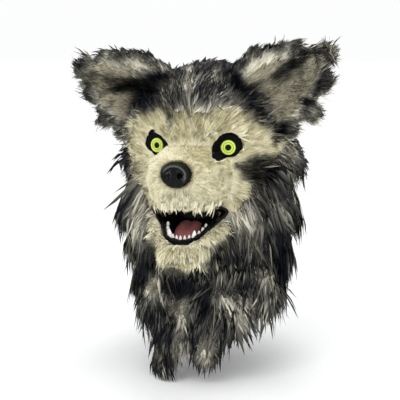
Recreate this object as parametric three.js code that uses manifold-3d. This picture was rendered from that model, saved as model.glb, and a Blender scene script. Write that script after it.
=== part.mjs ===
// A wolf mask that is worn over the whole head: a hard shell with a muzzle, a hanging jaw,
// fur pelts, two folded ears, eyes, nose, teeth and tongue.
// Millimetres, +Z up, the face towards -Y, +X on the wolf's left.
// The origin is the inside of the crown, where the wearer's head touches it.
import * as THREE from "three";
import { mergeVertices } from "three/addons/utils/BufferGeometryUtils.js";
import Module from "manifold-3d";

const wasm = await Module();
wasm.setup();
const { Vector3 } = THREE;

// Walls and clearances
const SHELL_WALL = 3;
const CLOTH_WALL = 2;
const LINING_WALL = 2;
const GAP = 0.4;

// Head shell, measured on its outer skin
const HEAD_HALF_WIDTH = 101;
const HEAD_FRONT = 104;
const HEAD_BACK = 108;
const SHELL_HEIGHT = 238;
const HEAD_RING_POINTS = 16;

// A height by its drop below the crown, as a share of the shell's height.
const levelAt = (drop) => SHELL_WALL - drop * SHELL_HEIGHT;

// Muzzle, from inside the head to the tip of its skin
const MUZZLE_ROOT_Y = -60;
const MUZZLE_LENGTH = 92;
const MUZZLE_HALF_WIDTH = 49;
const MUZZLE_TOP_Z = levelAt(0.4);
const MUZZLE_HEIGHT = 76;
const MUZZLE_RING_POINTS = 12;

// Mouth opening and the pouch behind it
const MOUTH_HALF_WIDTH = 56;
const MOUTH_CORNER_Y = -104;
const MOUTH_REACH = 50;
const MOUTH_TOP_Z = levelAt(0.731);
const MOUTH_HEIGHT = 50;
const THROAT_Y = -82;
const THROAT_HALF_WIDTH = 32;
const THROAT_HALF_HEIGHT = 14;
const THROAT_Z = levelAt(0.836);

// Jaw tray
const JAW_BACK_Y = -86;
const JAW_LENGTH = 72;
const JAW_HALF_WIDTH = 40;
const JAW_BACK_Z = levelAt(0.798);
const JAW_SLOPE = 34;
const JAW_DEPTH = 30;
const LIP_WIDTH = 3;
const GUM_WIDTH = 10;
const GUM_DEPTH = 5;
const TONGUE_BED_DEPTH = 14;

// Teeth and tongue
const INCISOR_COUNT = 5;
const INCISOR_HEIGHT = 7;
const CANINE_HEIGHT = 11;
const MOLAR_HEIGHT = 9;
const CANINE_WIDTH = 7;
const TOOTH_ROOT = 2;
const TONGUE_LENGTH = 50;
const TONGUE_THICKNESS = 9;

// Eyes
const EYE_SPACING = 104;
const EYE_Z = levelAt(0.412);
const EYE_TURN = 15;
const EYE_HALF_WIDTH = 21;
const EYE_HALF_HEIGHT = 18.5;
const EYE_PLUG_DEPTH = 11;
const EYE_PLUG_PROUD = 3;
const EYE_CUT_REACH = 60;
const EYE_OUTLINE_POINTS = 10;
const IRIS_SEGMENTS = 14;
const IRIS_RADIUS = 10.7;
const IRIS_HEIGHT = 6;
const IRIS_SEAT_DEPTH = 3;
const PUPIL_RADIUS = 3.6;

// Nose
const NOSE_HALF_WIDTH = 21.5;
const NOSE_HALF_HEIGHT = 18;
const NOSE_HALF_DEPTH = 16;
const NOSE_Z = levelAt(0.538);
const NOSE_PROUD = 8;
const NOSTRIL_HALF_WIDTH = 5.5;
const NOSTRIL_HALF_HEIGHT = 4;
const NOSTRIL_DEPTH = 6;

// Fur
const FACE_PILE = 9;
const CHIN_PILE = 11;
const UNDERFUR = 15;
const NECK_PILE = 10;
const LOCK_LENGTH = 78;
const LOCK_WIDTH = 58;
const LOCK_DEPTH = 19;
const LOCK_ROOT = 7;
const TUFT_LENGTH = 26;

// Neck cloth
const NECK_FALL = 100;
const BIB_DROP = 84;
const FOLD_DEPTH = 5;
const FOLD_COUNT = 5;
const FOLD_PHASE = 0.6;
const NECK_RING_POINTS = 18;

// Ears
const EAR_WALL = 7;
const EAR_LENGTH = 118;
const EAR_HALF_WIDTH = 57;
const EAR_LINING_WALL = 2.5;
const LINING_SHORT = 3;
const LINING_CLEAR = 2.3 * GAP;
const LINING_FROM = -0.62;
const LINING_TO = 0.85;
const EAR_SIDE_X = 76;
const EAR_SEAT_Y = -34;
const EAR_SEAT_Z = levelAt(0.164);

// Each row's shares are of SHELL_HEIGHT below the crown and of the three half sizes.
const HEAD_ROWS = [
  { drop: 0, side: 0, front: 0, back: 0 },
  { drop: 0.022, side: 0.33, front: 0.31, back: 0.33 },
  { drop: 0.09, side: 0.61, front: 0.57, back: 0.62 },
  { drop: 0.2, side: 0.84, front: 0.79, back: 0.85 },
  { drop: 0.35, side: 0.97, front: 0.94, back: 0.98 },
  { drop: 0.53, side: 1, front: 0.98, back: 1 },
  { drop: 0.75, side: 0.98, front: 0.89, back: 0.96 },
  { drop: 1, side: 0.95, front: 0.8, back: 0.88 },
];

// Shares of MUZZLE_LENGTH, of its half width, and of its height below the top.
const MUZZLE_ROWS = [
  { reach: 0, half: 1, top: 0, bottom: 1 },
  { reach: 0.32, half: 1, top: 0.07, bottom: 1 },
  { reach: 0.56, half: 0.96, top: 0.14, bottom: 1 },
  { reach: 0.76, half: 0.89, top: 0.19, bottom: 0.99 },
  { reach: 0.9, half: 0.76, top: 0.23, bottom: 0.97 },
  { reach: 0.97, half: 0.58, top: 0.3, bottom: 0.9 },
  { reach: 1, half: 0.32, top: 0.42, bottom: 0.78 },
];

// The mouth's rim from the middle of the upper lip, through the corner, to the middle of the
// lower lip: shares of its half width, of its reach before the corner, and of its height.
const MOUTH_ROWS = [
  { turn: 0, out: 0, reach: 0.94, drop: 0 },
  { turn: 25, out: 0.36, reach: 0.88, drop: 0.01 },
  { turn: 50, out: 0.68, reach: 0.58, drop: 0.04 },
  { turn: 72, out: 0.88, reach: 0.24, drop: 0.1 },
  { turn: 90, out: 1, reach: 0, drop: 0.2 },
  { turn: 108, out: 0.88, reach: 0.08, drop: 0.4 },
  { turn: 130, out: 0.62, reach: 0.4, drop: 0.72 },
  { turn: 155, out: 0.4, reach: 0.8, drop: 0.96 },
  { turn: 180, out: 0, reach: 0.94, drop: 1.04 },
];

// Shares of JAW_LENGTH, of its half width and of its depth below the lip.
const JAW_ROWS = [
  { reach: 0, half: 1, depth: 1 },
  { reach: 0.25, half: 0.98, depth: 0.9 },
  { reach: 0.5, half: 0.88, depth: 0.78 },
  { reach: 0.72, half: 0.74, depth: 0.66 },
  { reach: 0.87, half: 0.56, depth: 0.56 },
  { reach: 0.96, half: 0.36, depth: 0.46 },
  { reach: 1, half: 0.16, depth: 0.36 },
];

// Shares of NECK_FALL, and of the head's own half sizes.
const NECK_ROWS = [
  { fall: 0, side: 0.95, front: 0.8, back: 0.88 },
  { fall: 0.35, side: 0.91, front: 0.85, back: 0.84 },
  { fall: 0.7, side: 0.83, front: 0.9, back: 0.79 },
  { fall: 1, side: 0.76, front: 0.95, back: 0.75 },
];

// The edge between the short face pelt and the long hood pelt, as degrees round from the
// front and shares of SHELL_HEIGHT below the crown.
const FACE_EDGE = [
  { turn: 0, drop: 0.245 },
  { turn: 25, drop: 0.215 },
  { turn: 48, drop: 0.235 },
  { turn: 66, drop: 0.32 },
  { turn: 70, drop: 0.43 },
  { turn: 60, drop: 0.52 },
  { turn: 46, drop: 0.6 },
  { turn: 40, drop: 0.68 },
  { turn: 38, drop: 0.79 },
  { turn: 0, drop: 0.79 },
];

// A lock of fur from root to tip: shares of its length along the comb and away from the
// skin, and of its width.
const LOCK_SECTIONS = [
  { along: 0, lift: 0, spread: 0.85 },
  { along: 0.45, lift: 0.34, spread: 0.95 },
  { along: 1, lift: 0.52, spread: 0 },
];

// How much the locks of one ring differ in length.
const LOCK_UNEVEN = 0.14;

// How far round an ear's seat the hood has no locks.
const EAR_CLEARING = 46;

const FACE_CUT_RADII = [12, 84, 115, 900];

// Rings of locks on the hood and on the neck: their lengths as shares of LOCK_LENGTH, and how
// far they lift off, as a share of a lock's own lift.
const HOOD_LOCK_RINGS = [
  { drop: 0.06, count: 5, shift: 0, length: 0.6, lift: 0.7 },
  { drop: 0.22, count: 8, shift: 0.5, length: 0.72, lift: 0.7 },
  { drop: 0.43, count: 9, shift: 0, length: 0.84, lift: 0.6 },
  { drop: 0.65, count: 9, shift: 0.5, length: 0.94, lift: 0.55 },
  { drop: 0.87, count: 9, shift: 0, length: 0.94, lift: 0.4 },
];
const NECK_LOCK_RINGS = [
  { fall: 0.27, count: 8, shift: 0.4, length: 0.8, lift: 0.5 },
  { fall: 0.54, count: 8, shift: 0.9, length: 0.72, lift: 0.4 },
  { fall: 0.8, count: 9, shift: 0.375, length: 0.62, lift: 0.3 },
];

// An ear from root to tip: shares of its length and half width, and how far its upper rim
// rolls forward as a share of the half width.
const EAR_ROWS = [
  { reach: -0.25, half: 0.8, rim: 0.36 },
  { reach: 0.04, half: 0.98, rim: 0.52 },
  { reach: 0.3, half: 1, rim: 0.58 },
  { reach: 0.6, half: 0.76, rim: 0.5 },
  { reach: 0.88, half: 0.34, rim: 0.28 },
  { reach: 1, half: 0.1, rim: 0 },
];

// The ear's cross section from its upper rim (-1) to its lower rim (1): how far each point
// stands forward, as a share of the rim's roll.
const EAR_SECTION = [
  { across: -1, forward: 0.4 },
  { across: -0.8, forward: 1 },
  { across: -0.5, forward: 0.8 },
  { across: -0.18, forward: -0.35 },
  { across: 0.4, forward: -0.5 },
  { across: 1, forward: 0.2 },
];

// Each ear's tip stands out from its seat, raised and turned forward by degrees. The tilt
// adds to the roll of its rim.
const EARS = [
  { name: "left", side: 1, rise: 35, turn: 2, tilt: 0 },
  { name: "right", side: -1, rise: 24, turn: 4, tilt: 0.3 },
];

// The way an ear's width runs from its upper rim to its lower one, before it is squared to
// the ear's axis.
const EAR_ACROSS = { out: 0.55, back: -0.05, up: -0.85 };

const CROWN_Z = levelAt(0);
const SHELL_BOTTOM_Z = levelAt(1);

// Materials
const finish = (color, roughness, metalness = 0) =>
  new THREE.MeshStandardMaterial({ color, roughness, metalness });
const MATERIALS = {
  shell: finish(0x17171a, 0.7),
  cloth: finish(0x3a3835, 0.95),
  faceFur: finish(0xd8d0ae, 0.95),
  hoodFur: finish(0x6f6c60, 0.95),
  lining: finish(0xa39a80, 0.95),
  gloss: finish(0x08080a, 0.25),
  iris: finish(0xb4dc2a, 0.35),
  tooth: finish(0xf3efe8, 0.3),
  tongue: finish(0xb04a4c, 0.5),
};

// Solids and meshes

// A manifold solid from points and triangles, turned so that its faces point out.
function solidFrom(points, triangles) {
  const flat = new Float32Array(points.flatMap((p) => [p.x, p.y, p.z]));
  let volume = 0;
  for (const [a, b, c] of triangles) {
    const cross = new Vector3().crossVectors(points[b], points[c]);
    volume += points[a].dot(cross);
  }
  const facing = volume < 0 ? triangles.map(([a, b, c]) => [a, c, b]) : triangles;
  return new wasm.Manifold(
    new wasm.Mesh({
      numProp: 3,
      vertProperties: flat,
      triVerts: new Uint32Array(facing.flat()),
    }),
  );
}

// A three.js geometry as a manifold solid.
function solidOf(geometry) {
  const bare = geometry.clone();
  bare.deleteAttribute("normal");
  bare.deleteAttribute("uv");
  const merged = mergeVertices(bare, 1e-4);
  const place = merged.getAttribute("position");
  const points = [];
  for (let i = 0; i < place.count; i++) {
    points.push(new Vector3().fromBufferAttribute(place, i));
  }
  const triangles = [];
  for (let i = 0; i < merged.index.count; i += 3) {
    const corner = [0, 1, 2].map((k) => merged.index.getX(i + k));
    if (new Set(corner).size === 3) triangles.push(corner);
  }
  return solidFrom(points, triangles);
}

// A solid through a list of closed rings with the same number of points. A ring of one
// point is a pole, and any other end is closed flat: by a fan from its middle, or for a thin
// curved sheet by a strip between its two sides.
function loft(rings, isSheet = false) {
  const points = rings.flat();
  const starts = [];
  rings.reduce((sum, ring) => (starts.push(sum), sum + ring.length), 0);
  const triangles = [];
  for (let i = 0; i + 1 < rings.length; i++) {
    const [m, n] = [rings[i].length, rings[i + 1].length];
    for (let k = 0; k < Math.max(m, n); k++) {
      const next = (k + 1) % Math.max(m, n);
      const a = starts[i] + (m === 1 ? 0 : k);
      const b = starts[i] + (m === 1 ? 0 : next);
      const c = starts[i + 1] + (n === 1 ? 0 : k);
      const d = starts[i + 1] + (n === 1 ? 0 : next);
      if (m > 1) triangles.push([a, b, c]);
      if (n > 1) triangles.push([b, d, c]);
    }
  }
  const addTurned = (turned, a, b, c) => triangles.push(turned ? [a, c, b] : [a, b, c]);
  const close = (ring, start, turned) => {
    const count = ring.length;
    if (isSheet) {
      for (let k = 0; k + 1 < count / 2; k++) {
        const [a, b] = [start + k, start + k + 1];
        const [c, d] = [start + count - 1 - k, start + count - 2 - k];
        addTurned(turned, b, a, c);
        addTurned(turned, b, c, d);
      }
    } else if (count > 1) {
      const middle = new Vector3();
      ring.forEach((p) => middle.addScaledVector(p, 1 / count));
      points.push(middle);
      for (let k = 0; k < count; k++) {
        addTurned(turned, points.length - 1, start + ((k + 1) % count), start + k);
      }
    }
  };
  close(rings[0], starts[0], false);
  close(rings[rings.length - 1], starts[rings.length - 1], true);
  return solidFrom(points, triangles);
}

const joined = (...solids) => wasm.Manifold.union(solids.flat());

// The largest of a solid's separate bodies, without the crumbs that a cut can leave.
function mainBody(solid) {
  const bodies = solid.decompose();
  return bodies.reduce((a, b) => (b.volume() > a.volume() ? b : a));
}

const mask = new THREE.Group();

function add(name, solid, material) {
  const { vertProperties, triVerts } = mainBody(solid).getMesh();
  const geometry = new THREE.BufferGeometry();
  geometry.setAttribute("position", new THREE.BufferAttribute(vertProperties, 3));
  geometry.setIndex(new THREE.BufferAttribute(triVerts, 1));
  const mesh = new THREE.Mesh(geometry.toNonIndexed(), material);
  mesh.geometry.computeVertexNormals();
  mesh.name = name;
  mask.add(mesh);
}

// Small helpers

const lerp = THREE.MathUtils.lerp;
const radians = THREE.MathUtils.degToRad;

// A row of a table at any value of its key, straight between the rows around it.
function rowAt(rows, key, value) {
  const at = Math.min(Math.max(value, rows[0][key]), rows[rows.length - 1][key]);
  const i = Math.max(1, rows.findIndex((row) => row[key] >= at));
  const share = (at - rows[i - 1][key]) / (rows[i][key] - rows[i - 1][key]);
  const row = {};
  for (const name of Object.keys(rows[i])) {
    row[name] = lerp(rows[i - 1][name], rows[i][name], share);
  }
  return row;
}

// A repeatable number from -1 to 1 that differs from one count to the next.
const uneven = (n) => Math.sin(n * 12.9898 + 4.1) * Math.cos(n * 4.233 + 1.7);

const power = (value, exponent) => Math.sign(value) * Math.abs(value) ** exponent;

// A point on an oval with its own front, back and side reach, at an angle from the front.
const OVAL_POWER = 2 / 2.3;
function onOval(angle, z, side, front, back) {
  const [s, c] = [power(Math.sin(angle), OVAL_POWER), power(Math.cos(angle), OVAL_POWER)];
  return new Vector3(side * s, c > 0 ? -front * c : -back * c, z);
}

// Head form

// The outward direction of a table's side profile at a row, as radius and height.
function profileOut(rows, i) {
  const [above, below] = [rows[Math.max(i - 1, 0)], rows[Math.min(i + 1, rows.length - 1)]];
  const out = new THREE.Vector2(above.z - below.z, below.side - above.side);
  return i === 0 && rows[0].side === 0 ? new THREE.Vector2(0, 1) : out.normalize();
}

const headRows = HEAD_ROWS.map(({ drop, side, front, back }) => ({
  z: CROWN_Z - drop * SHELL_HEIGHT,
  side: side * HEAD_HALF_WIDTH,
  front: front * HEAD_FRONT,
  back: back * HEAD_BACK,
}));

function grown(rows, grow) {
  return rows.map((row, i) => {
    const out = profileOut(rows, i);
    const wider = row.side === 0 ? 0 : grow * out.x;
    return {
      z: row.z + grow * out.y,
      side: row.side + wider,
      front: row.front + wider,
      back: row.back + wider,
    };
  });
}

// The solid head form, its skin moved out by grow and its foot lengthened by below.
function headForm(grow, below = 0) {
  const rows = grown(headRows, grow);
  const foot = rows[rows.length - 1];
  foot.z = SHELL_BOTTOM_Z;
  if (below > 0) rows.push({ ...foot, z: SHELL_BOTTOM_Z - below });
  return loft(
    rows.map(({ z, side, front, back }) =>
      side === 0
        ? [new Vector3(0, 0, z)]
        : ringOf(HEAD_RING_POINTS, (angle) => onOval(angle, z, side, front, back)),
    ),
  );
}

function ringOf(count, pointAt) {
  return Array.from({ length: count }, (_, k) => pointAt((k / count) * 2 * Math.PI));
}

// A point of the head's skin, by its angle from the front and its drop below the crown.
function onHead(angle, drop, grow = 0) {
  const row = rowAt(HEAD_ROWS, "drop", drop);
  return onOval(
    angle,
    CROWN_Z - drop * SHELL_HEIGHT,
    row.side * HEAD_HALF_WIDTH + grow,
    row.front * HEAD_FRONT + grow,
    row.back * HEAD_BACK + grow,
  );
}

// The face's skin at a place seen from the front.
function faceSkinY(x, z) {
  const row = rowAt(HEAD_ROWS, "drop", (CROWN_Z - z) / SHELL_HEIGHT);
  const share = Math.abs(x) / (row.side * HEAD_HALF_WIDTH);
  return -row.front * HEAD_FRONT * (1 - share ** (2 / OVAL_POWER)) ** (OVAL_POWER / 2);
}

// A surface's outward direction, from its own neighbouring points.
function outwardAt(surface, u, v) {
  const step = 0.01;
  const du = surface(u + step, v).sub(surface(u - step, v));
  const dv = surface(u, v + step).sub(surface(u, Math.max(v - step, 0)));
  const out = du.cross(dv).normalize();
  const place = surface(u, v);
  const away = new Vector3(place.x, place.y, 0);
  return out.dot(away) < 0 ? out.negate() : out;
}

// Muzzle form

const MUZZLE_POWER = 2 / 2.7;

function muzzleForm(grow) {
  const rings = MUZZLE_ROWS.map(({ reach, half, top, bottom }) => {
    const y = MUZZLE_ROOT_Y - reach * MUZZLE_LENGTH - (reach > 0.9 ? grow : 0);
    const zTop = MUZZLE_TOP_Z - top * MUZZLE_HEIGHT + grow;
    const zBottom = MUZZLE_TOP_Z - bottom * MUZZLE_HEIGHT - grow;
    return ringOf(MUZZLE_RING_POINTS, (angle) => {
      const across = power(Math.sin(angle), MUZZLE_POWER);
      const up = power(Math.cos(angle), MUZZLE_POWER);
      return new Vector3(
        (half * MUZZLE_HALF_WIDTH + grow) * across,
        y,
        (zTop + zBottom) / 2 + ((zTop - zBottom) / 2) * up,
      );
    });
  });
  return loft(rings);
}

const MUZZLE_TIP_Y = MUZZLE_ROOT_Y - MUZZLE_LENGTH;

// Mouth pouch

const mouthRing = [
  ...MOUTH_ROWS,
  ...MOUTH_ROWS.slice(1, -1)
    .reverse()
    .map((row) => ({ ...row, turn: 360 - row.turn, out: -row.out })),
];

// The pouch at a share of its depth: 0 at the lips, 1 at the throat, below 0 before the lips.
function pouchRing(depth, grow) {
  const inward = Math.max(depth, 0);
  const middle = new Vector3(
    0,
    lerp(MOUTH_CORNER_Y - MOUTH_REACH / 2, THROAT_Y, inward),
    lerp(MOUTH_TOP_Z - MOUTH_HEIGHT / 2, THROAT_Z, inward),
  );
  return mouthRing.map(({ turn, out, reach, drop }) => {
    const lip = new Vector3(
      out * MOUTH_HALF_WIDTH,
      MOUTH_CORNER_Y - reach * MOUTH_REACH,
      MOUTH_TOP_Z - drop * MOUTH_HEIGHT,
    );
    const throat = new Vector3(
      THROAT_HALF_WIDTH * Math.sin(radians(turn)),
      THROAT_Y,
      THROAT_Z + THROAT_HALF_HEIGHT * Math.cos(radians(turn)),
    );
    const place = lip.clone().lerp(throat, inward);
    const away = place.clone().sub(middle).setY(0).normalize();
    place.addScaledVector(away, grow);
    if (depth < 0) place.y += depth * MOUTH_REACH;
    return place;
  });
}

function pouchForm(grow, back = 0, before = 0) {
  const depths = [0, 0.5, 1];
  const rings = depths.map((depth) => pouchRing(depth, grow));
  rings[rings.length - 1].forEach((p) => (p.y += back));
  if (before > 0) rings.unshift(pouchRing(-before, grow));
  return loft(rings);
}

// Jaw form

const JAW_POWER = 0.75;
const JAW_SECTION_STEPS = 6;

const jawY = (reach) => JAW_BACK_Y - reach * JAW_LENGTH;
const jawLipZ = (y) => JAW_BACK_Z - ((JAW_BACK_Y - y) / JAW_LENGTH) * JAW_SLOPE;

// The jaw's outer form from its lip plane down, or a trough of the same plan when narrower,
// with straight walls up to top over the lip.
function jawForm({ inset = 0, depth = null, top = 0, grow = 0, past = 0 }) {
  const rings = [];
  const addRing = (y, half, fall) => {
    const lip = jawLipZ(y);
    const ring = [];
    for (let k = 0; k <= JAW_SECTION_STEPS; k++) {
      const angle = (k / JAW_SECTION_STEPS) * Math.PI;
      const across = power(Math.cos(angle), JAW_POWER);
      const down = power(Math.sin(angle), JAW_POWER);
      ring.push(new Vector3(half * across, y, lip - fall * down));
    }
    if (top > 0) {
      ring.unshift(new Vector3(half, y, lip + top));
      ring.push(new Vector3(-half, y, lip + top));
    }
    rings.push(ring);
  };
  for (const row of JAW_ROWS) {
    const half = row.half * JAW_HALF_WIDTH - inset + grow;
    const fall = (depth ?? row.depth * JAW_DEPTH) + grow;
    if (row.reach === 0 && past > 0) addRing(jawY(0) + past, half, fall);
    if (half > 1) addRing(jawY(row.reach) + (inset - grow) * row.reach ** 4, half, fall);
  }
  return loft(rings);
}

// Everything above the jaw's lip plane, lowered by sunk.
function aboveLip(sunk) {
  const side = 2 * HEAD_HALF_WIDTH;
  const [back, front] = [jawY(-0.4), jawY(1.6)];
  const outline = new THREE.Shape([
    new THREE.Vector2(back, jawLipZ(back) - sunk),
    new THREE.Vector2(front, jawLipZ(front) - sunk),
    new THREE.Vector2(front, 0),
    new THREE.Vector2(back, 0),
  ]);
  const slab = new THREE.ExtrudeGeometry(outline, { depth: side, bevelEnabled: false });
  slab.applyMatrix4(
    new THREE.Matrix4().makeBasis(
      new Vector3(0, 1, 0),
      new Vector3(0, 0, 1),
      new Vector3(1, 0, 0),
    ),
  );
  slab.translate(-side / 2, 0, 0);
  return solidOf(slab);
}

// Neck form

// The bib's lobes, as degrees round from the front and shares of BIB_DROP.
const LOBES = [
  { turn: -26, width: 20, share: 1.06 },
  { turn: 16, width: 17, share: 0.82 },
];

// How far the hem hangs below the shell at an angle from the front.
function hemFall(angle) {
  const turn = THREE.MathUtils.radToDeg(Math.atan2(Math.sin(angle), Math.cos(angle)));
  const lobes = LOBES.map((lobe) => {
    const across = (turn - lobe.turn) / lobe.width;
    return lobe.share * Math.exp(-across * across);
  });
  return NECK_FALL + BIB_DROP * lobes.reduce((a, b) => a + b);
}

function onNeck(angle, fall, grow = 0) {
  const row = rowAt(NECK_ROWS, "fall", fall);
  const wave = FOLD_DEPTH * Math.max(fall, 0) ** 2 * Math.cos(FOLD_COUNT * angle + FOLD_PHASE);
  return onOval(
    angle,
    SHELL_BOTTOM_Z - GAP - fall * hemFall(angle),
    row.side * HEAD_HALF_WIDTH + grow + wave,
    row.front * HEAD_FRONT + grow + wave,
    row.back * HEAD_BACK + grow + wave,
  );
}

// The solid neck form. Its ends run past by over, for a solid that cuts.
function neckForm(grow, over = 0) {
  const rings = NECK_ROWS.map(({ fall }) =>
    ringOf(NECK_RING_POINTS, (angle) => onNeck(angle, fall, grow)),
  );
  if (over > 0) {
    rings.unshift(rings[0].map((p) => new Vector3(p.x, p.y, p.z + over)));
    rings.push(rings[rings.length - 1].map((p) => new Vector3(p.x, p.y, p.z - over)));
  }
  return loft(rings);
}

// Fur

const FACE_MIDDLE = new Vector3(0, MUZZLE_TIP_Y + 0.3 * MUZZLE_LENGTH, NOSE_Z);
const COMB_TURNS_Z = levelAt(0.1);
const COMB_DOWN_Z = levelAt(1.1);

// The way the fur is combed at a place: away from the nose, and down further below.
function combAt(place, out) {
  const away = place.clone().sub(FACE_MIDDLE).normalize();
  const below = THREE.MathUtils.smoothstep(-place.z, -COMB_TURNS_Z, -COMB_DOWN_Z);
  const flow = away.multiplyScalar(1 - 0.75 * below).add(new Vector3(0, 0, -0.2 - 1.1 * below));
  return flow.addScaledVector(out, -flow.dot(out)).normalize();
}

// One lock, bent from its root over the comb direction, its faces moved out by grow.
function lock({ root, out, comb, length, lift = 1, width = LOCK_WIDTH, sunk = LOCK_ROOT }, grow) {
  const start = root.clone().addScaledVector(out, -sunk);
  const across = new Vector3().crossVectors(out, comb).normalize();
  const places = LOCK_SECTIONS.map(({ along, lift: rise }) =>
    start
      .clone()
      .addScaledVector(comb, along * (length + grow))
      .addScaledVector(out, rise * lift * (length + grow) + along * sunk),
  );
  const rings = LOCK_SECTIONS.map(({ spread }, i) => {
    if (spread === 0) return [places[i]];
    const ahead = places[i + 1].clone().sub(places[Math.max(i - 1, 0)]).normalize();
    const up = new Vector3().crossVectors(ahead, across).normalize();
    const [w, d] = [(spread * width) / 2 + grow, (spread * LOCK_DEPTH) / 2 + grow];
    return [
      places[i].clone().addScaledVector(across, w),
      places[i].clone().addScaledVector(up, d),
      places[i].clone().addScaledVector(across, -w),
      places[i].clone().addScaledVector(up, -d),
    ];
  });
  return loft(rings);
}

// True where a point of the head lies within the face's edge.
function onFace(angle, drop, margin = 0) {
  const turn = Math.abs(THREE.MathUtils.radToDeg(Math.atan2(Math.sin(angle), Math.cos(angle))));
  const edge = FACE_EDGE.slice(1, -1);
  if (drop < edge[0].drop - margin || drop > edge[edge.length - 1].drop + margin) return false;
  const row = rowAt(edge.slice(1), "drop", drop);
  return turn < row.turn + margin * 100;
}

// The wedge of space seen through the face's edge from the head's axis.
function faceCut(grow) {
  const wider = THREE.MathUtils.radToDeg(grow / HEAD_FRONT);
  const half = FACE_EDGE.map(({ turn, drop }, i) => {
    const top = i < 4 ? 1 : 0;
    const bottom = i > FACE_EDGE.length - 3 ? 1 : 0;
    return {
      turn: turn === 0 ? 0 : turn + wider,
      z: CROWN_Z - drop * SHELL_HEIGHT + (top - bottom) * grow,
    };
  });
  const mirrored = half.slice(1, -1).reverse();
  const edge = [...half, ...mirrored.map(({ turn, z }) => ({ turn: -turn, z }))];
  const points = FACE_CUT_RADII.flatMap((radius) =>
    edge.map(({ turn, z }) => {
      const angle = radians(turn);
      return new Vector3(radius * Math.sin(angle), -radius * Math.cos(angle), z);
    }),
  );
  const count = edge.length;
  const triangles = [];
  for (let ring = 0; ring + 1 < FACE_CUT_RADII.length; ring++) {
    for (let k = 0; k < count; k++) {
      const [a, b] = [ring * count + k, ring * count + ((k + 1) % count)];
      triangles.push([a, b, a + count], [b, b + count, a + count]);
    }
  }
  const flat = edge.map(({ turn, z }) => new THREE.Vector2(turn, z));
  const turned = THREE.ShapeUtils.isClockWise(flat);
  const last = points.length - count;
  for (const [a, b, c] of THREE.ShapeUtils.triangulateShape(flat, [])) {
    triangles.push(turned ? [a, b, c] : [a, c, b]);
    triangles.push(turned ? [a + last, c + last, b + last] : [a + last, b + last, c + last]);
  }
  return solidFrom(points, triangles);
}

// Ears

// The frame of an ear: its root, its axis to the tip, its width from the upper rim to the
// lower one, and its forward direction.
function earFrame({ side, rise, turn }) {
  const seat = new Vector3(side * EAR_SIDE_X, EAR_SEAT_Y, EAR_SEAT_Z);
  const level = Math.cos(radians(rise));
  const axis = new Vector3(
    side * level * Math.cos(radians(turn)),
    -level * Math.sin(radians(turn)),
    Math.sin(radians(rise)),
  );
  const down = new Vector3(side * EAR_ACROSS.out, EAR_ACROSS.back, EAR_ACROSS.up);
  const width = down.addScaledVector(axis, -down.dot(axis)).normalize();
  const front = new Vector3().crossVectors(axis, width).multiplyScalar(-side).normalize();
  if (front.y > 0) front.negate();
  return { seat, axis, width, front };
}

// The ear's section at a reach, between two shares of its width: points across and forward
// of its axis, with both ends drawn out by over.
function earSection(ear, reach, first, last, over) {
  const row = rowAt(EAR_ROWS, "reach", reach);
  const half = row.half * EAR_HALF_WIDTH;
  const between = EAR_SECTION.map(({ across }) => across).filter((v) => v > first && v < last);
  const points = [first, ...between, last].map((across) => {
    const { forward } = rowAt(EAR_SECTION, "across", across);
    return new THREE.Vector2(across * half, forward * row.rim * (1 + ear.tilt) * half);
  });
  const end = points.length - 1;
  const drawOut = (tip, inner) => {
    const along = tip.clone().sub(inner);
    tip.addScaledVector(along, Math.max(over / along.length(), -0.4));
  };
  drawOut(points[0], points[1]);
  drawOut(points[end], points[end - 1]);
  return points;
}

// An open line moved sideways by a distance, its segments staying parallel.
function offsetLine(points, distance) {
  const normals = points.slice(1).map((p, i) => {
    const along = p.clone().sub(points[i]).normalize();
    return new THREE.Vector2(-along.y, along.x);
  });
  return points.map((p, i) => {
    const before = normals[Math.max(i - 1, 0)];
    const after = normals[Math.min(i, normals.length - 1)];
    const middle = before.clone().add(after).normalize();
    return p.clone().addScaledVector(middle, distance / middle.dot(after));
  });
}

const onEar = (frame, reach, point) =>
  frame.seat
    .clone()
    .addScaledVector(frame.axis, reach * EAR_LENGTH)
    .addScaledVector(frame.width, point.x)
    .addScaledVector(frame.front, point.y);

// A sheet that follows the ear, between two offsets forward and two shares of its width,
// its edges drawn out by over.
function earSheet(ear, { from, to, first = -1, last = 1, over = 0 }) {
  const frame = earFrame(ear);
  const rings = EAR_ROWS.map(({ reach }, i) => {
    const end = i === 0 ? -1 : i === EAR_ROWS.length - 1 ? 1 : 0;
    const at = reach + (end * over) / EAR_LENGTH;
    const section = earSection(ear, reach, first, last, over);
    return [...offsetLine(section, to), ...offsetLine(section, from).reverse()].map((point) =>
      onEar(frame, at, point),
    );
  });
  return loft(rings, true);
}

// The ear's short lining, inside its rims, with all faces moved out by grow.
const liningSheet = (ear, grow) =>
  earSheet(ear, {
    from: 0,
    to: EAR_WALL / 2 + LINING_CLEAR + EAR_LINING_WALL + grow,
    first: LINING_FROM,
    last: LINING_TO,
    over: grow - LINING_SHORT,
  });

// The tufts round an ear, with lengths as shares of TUFT_LENGTH.
const EAR_LOCKS = [
  { reach: 0.14, across: 0.92, length: 0.95 },
  { reach: 0.44, across: 0.92, length: 1 },
  { reach: 0.74, across: 0.85, length: 0.85 },
  { reach: 0.92, across: 0, length: 0.7 },
  { reach: 0.7, across: -0.8, length: 0.7 },
  { reach: 0.34, across: -0.8, length: 0.7 },
];

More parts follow.
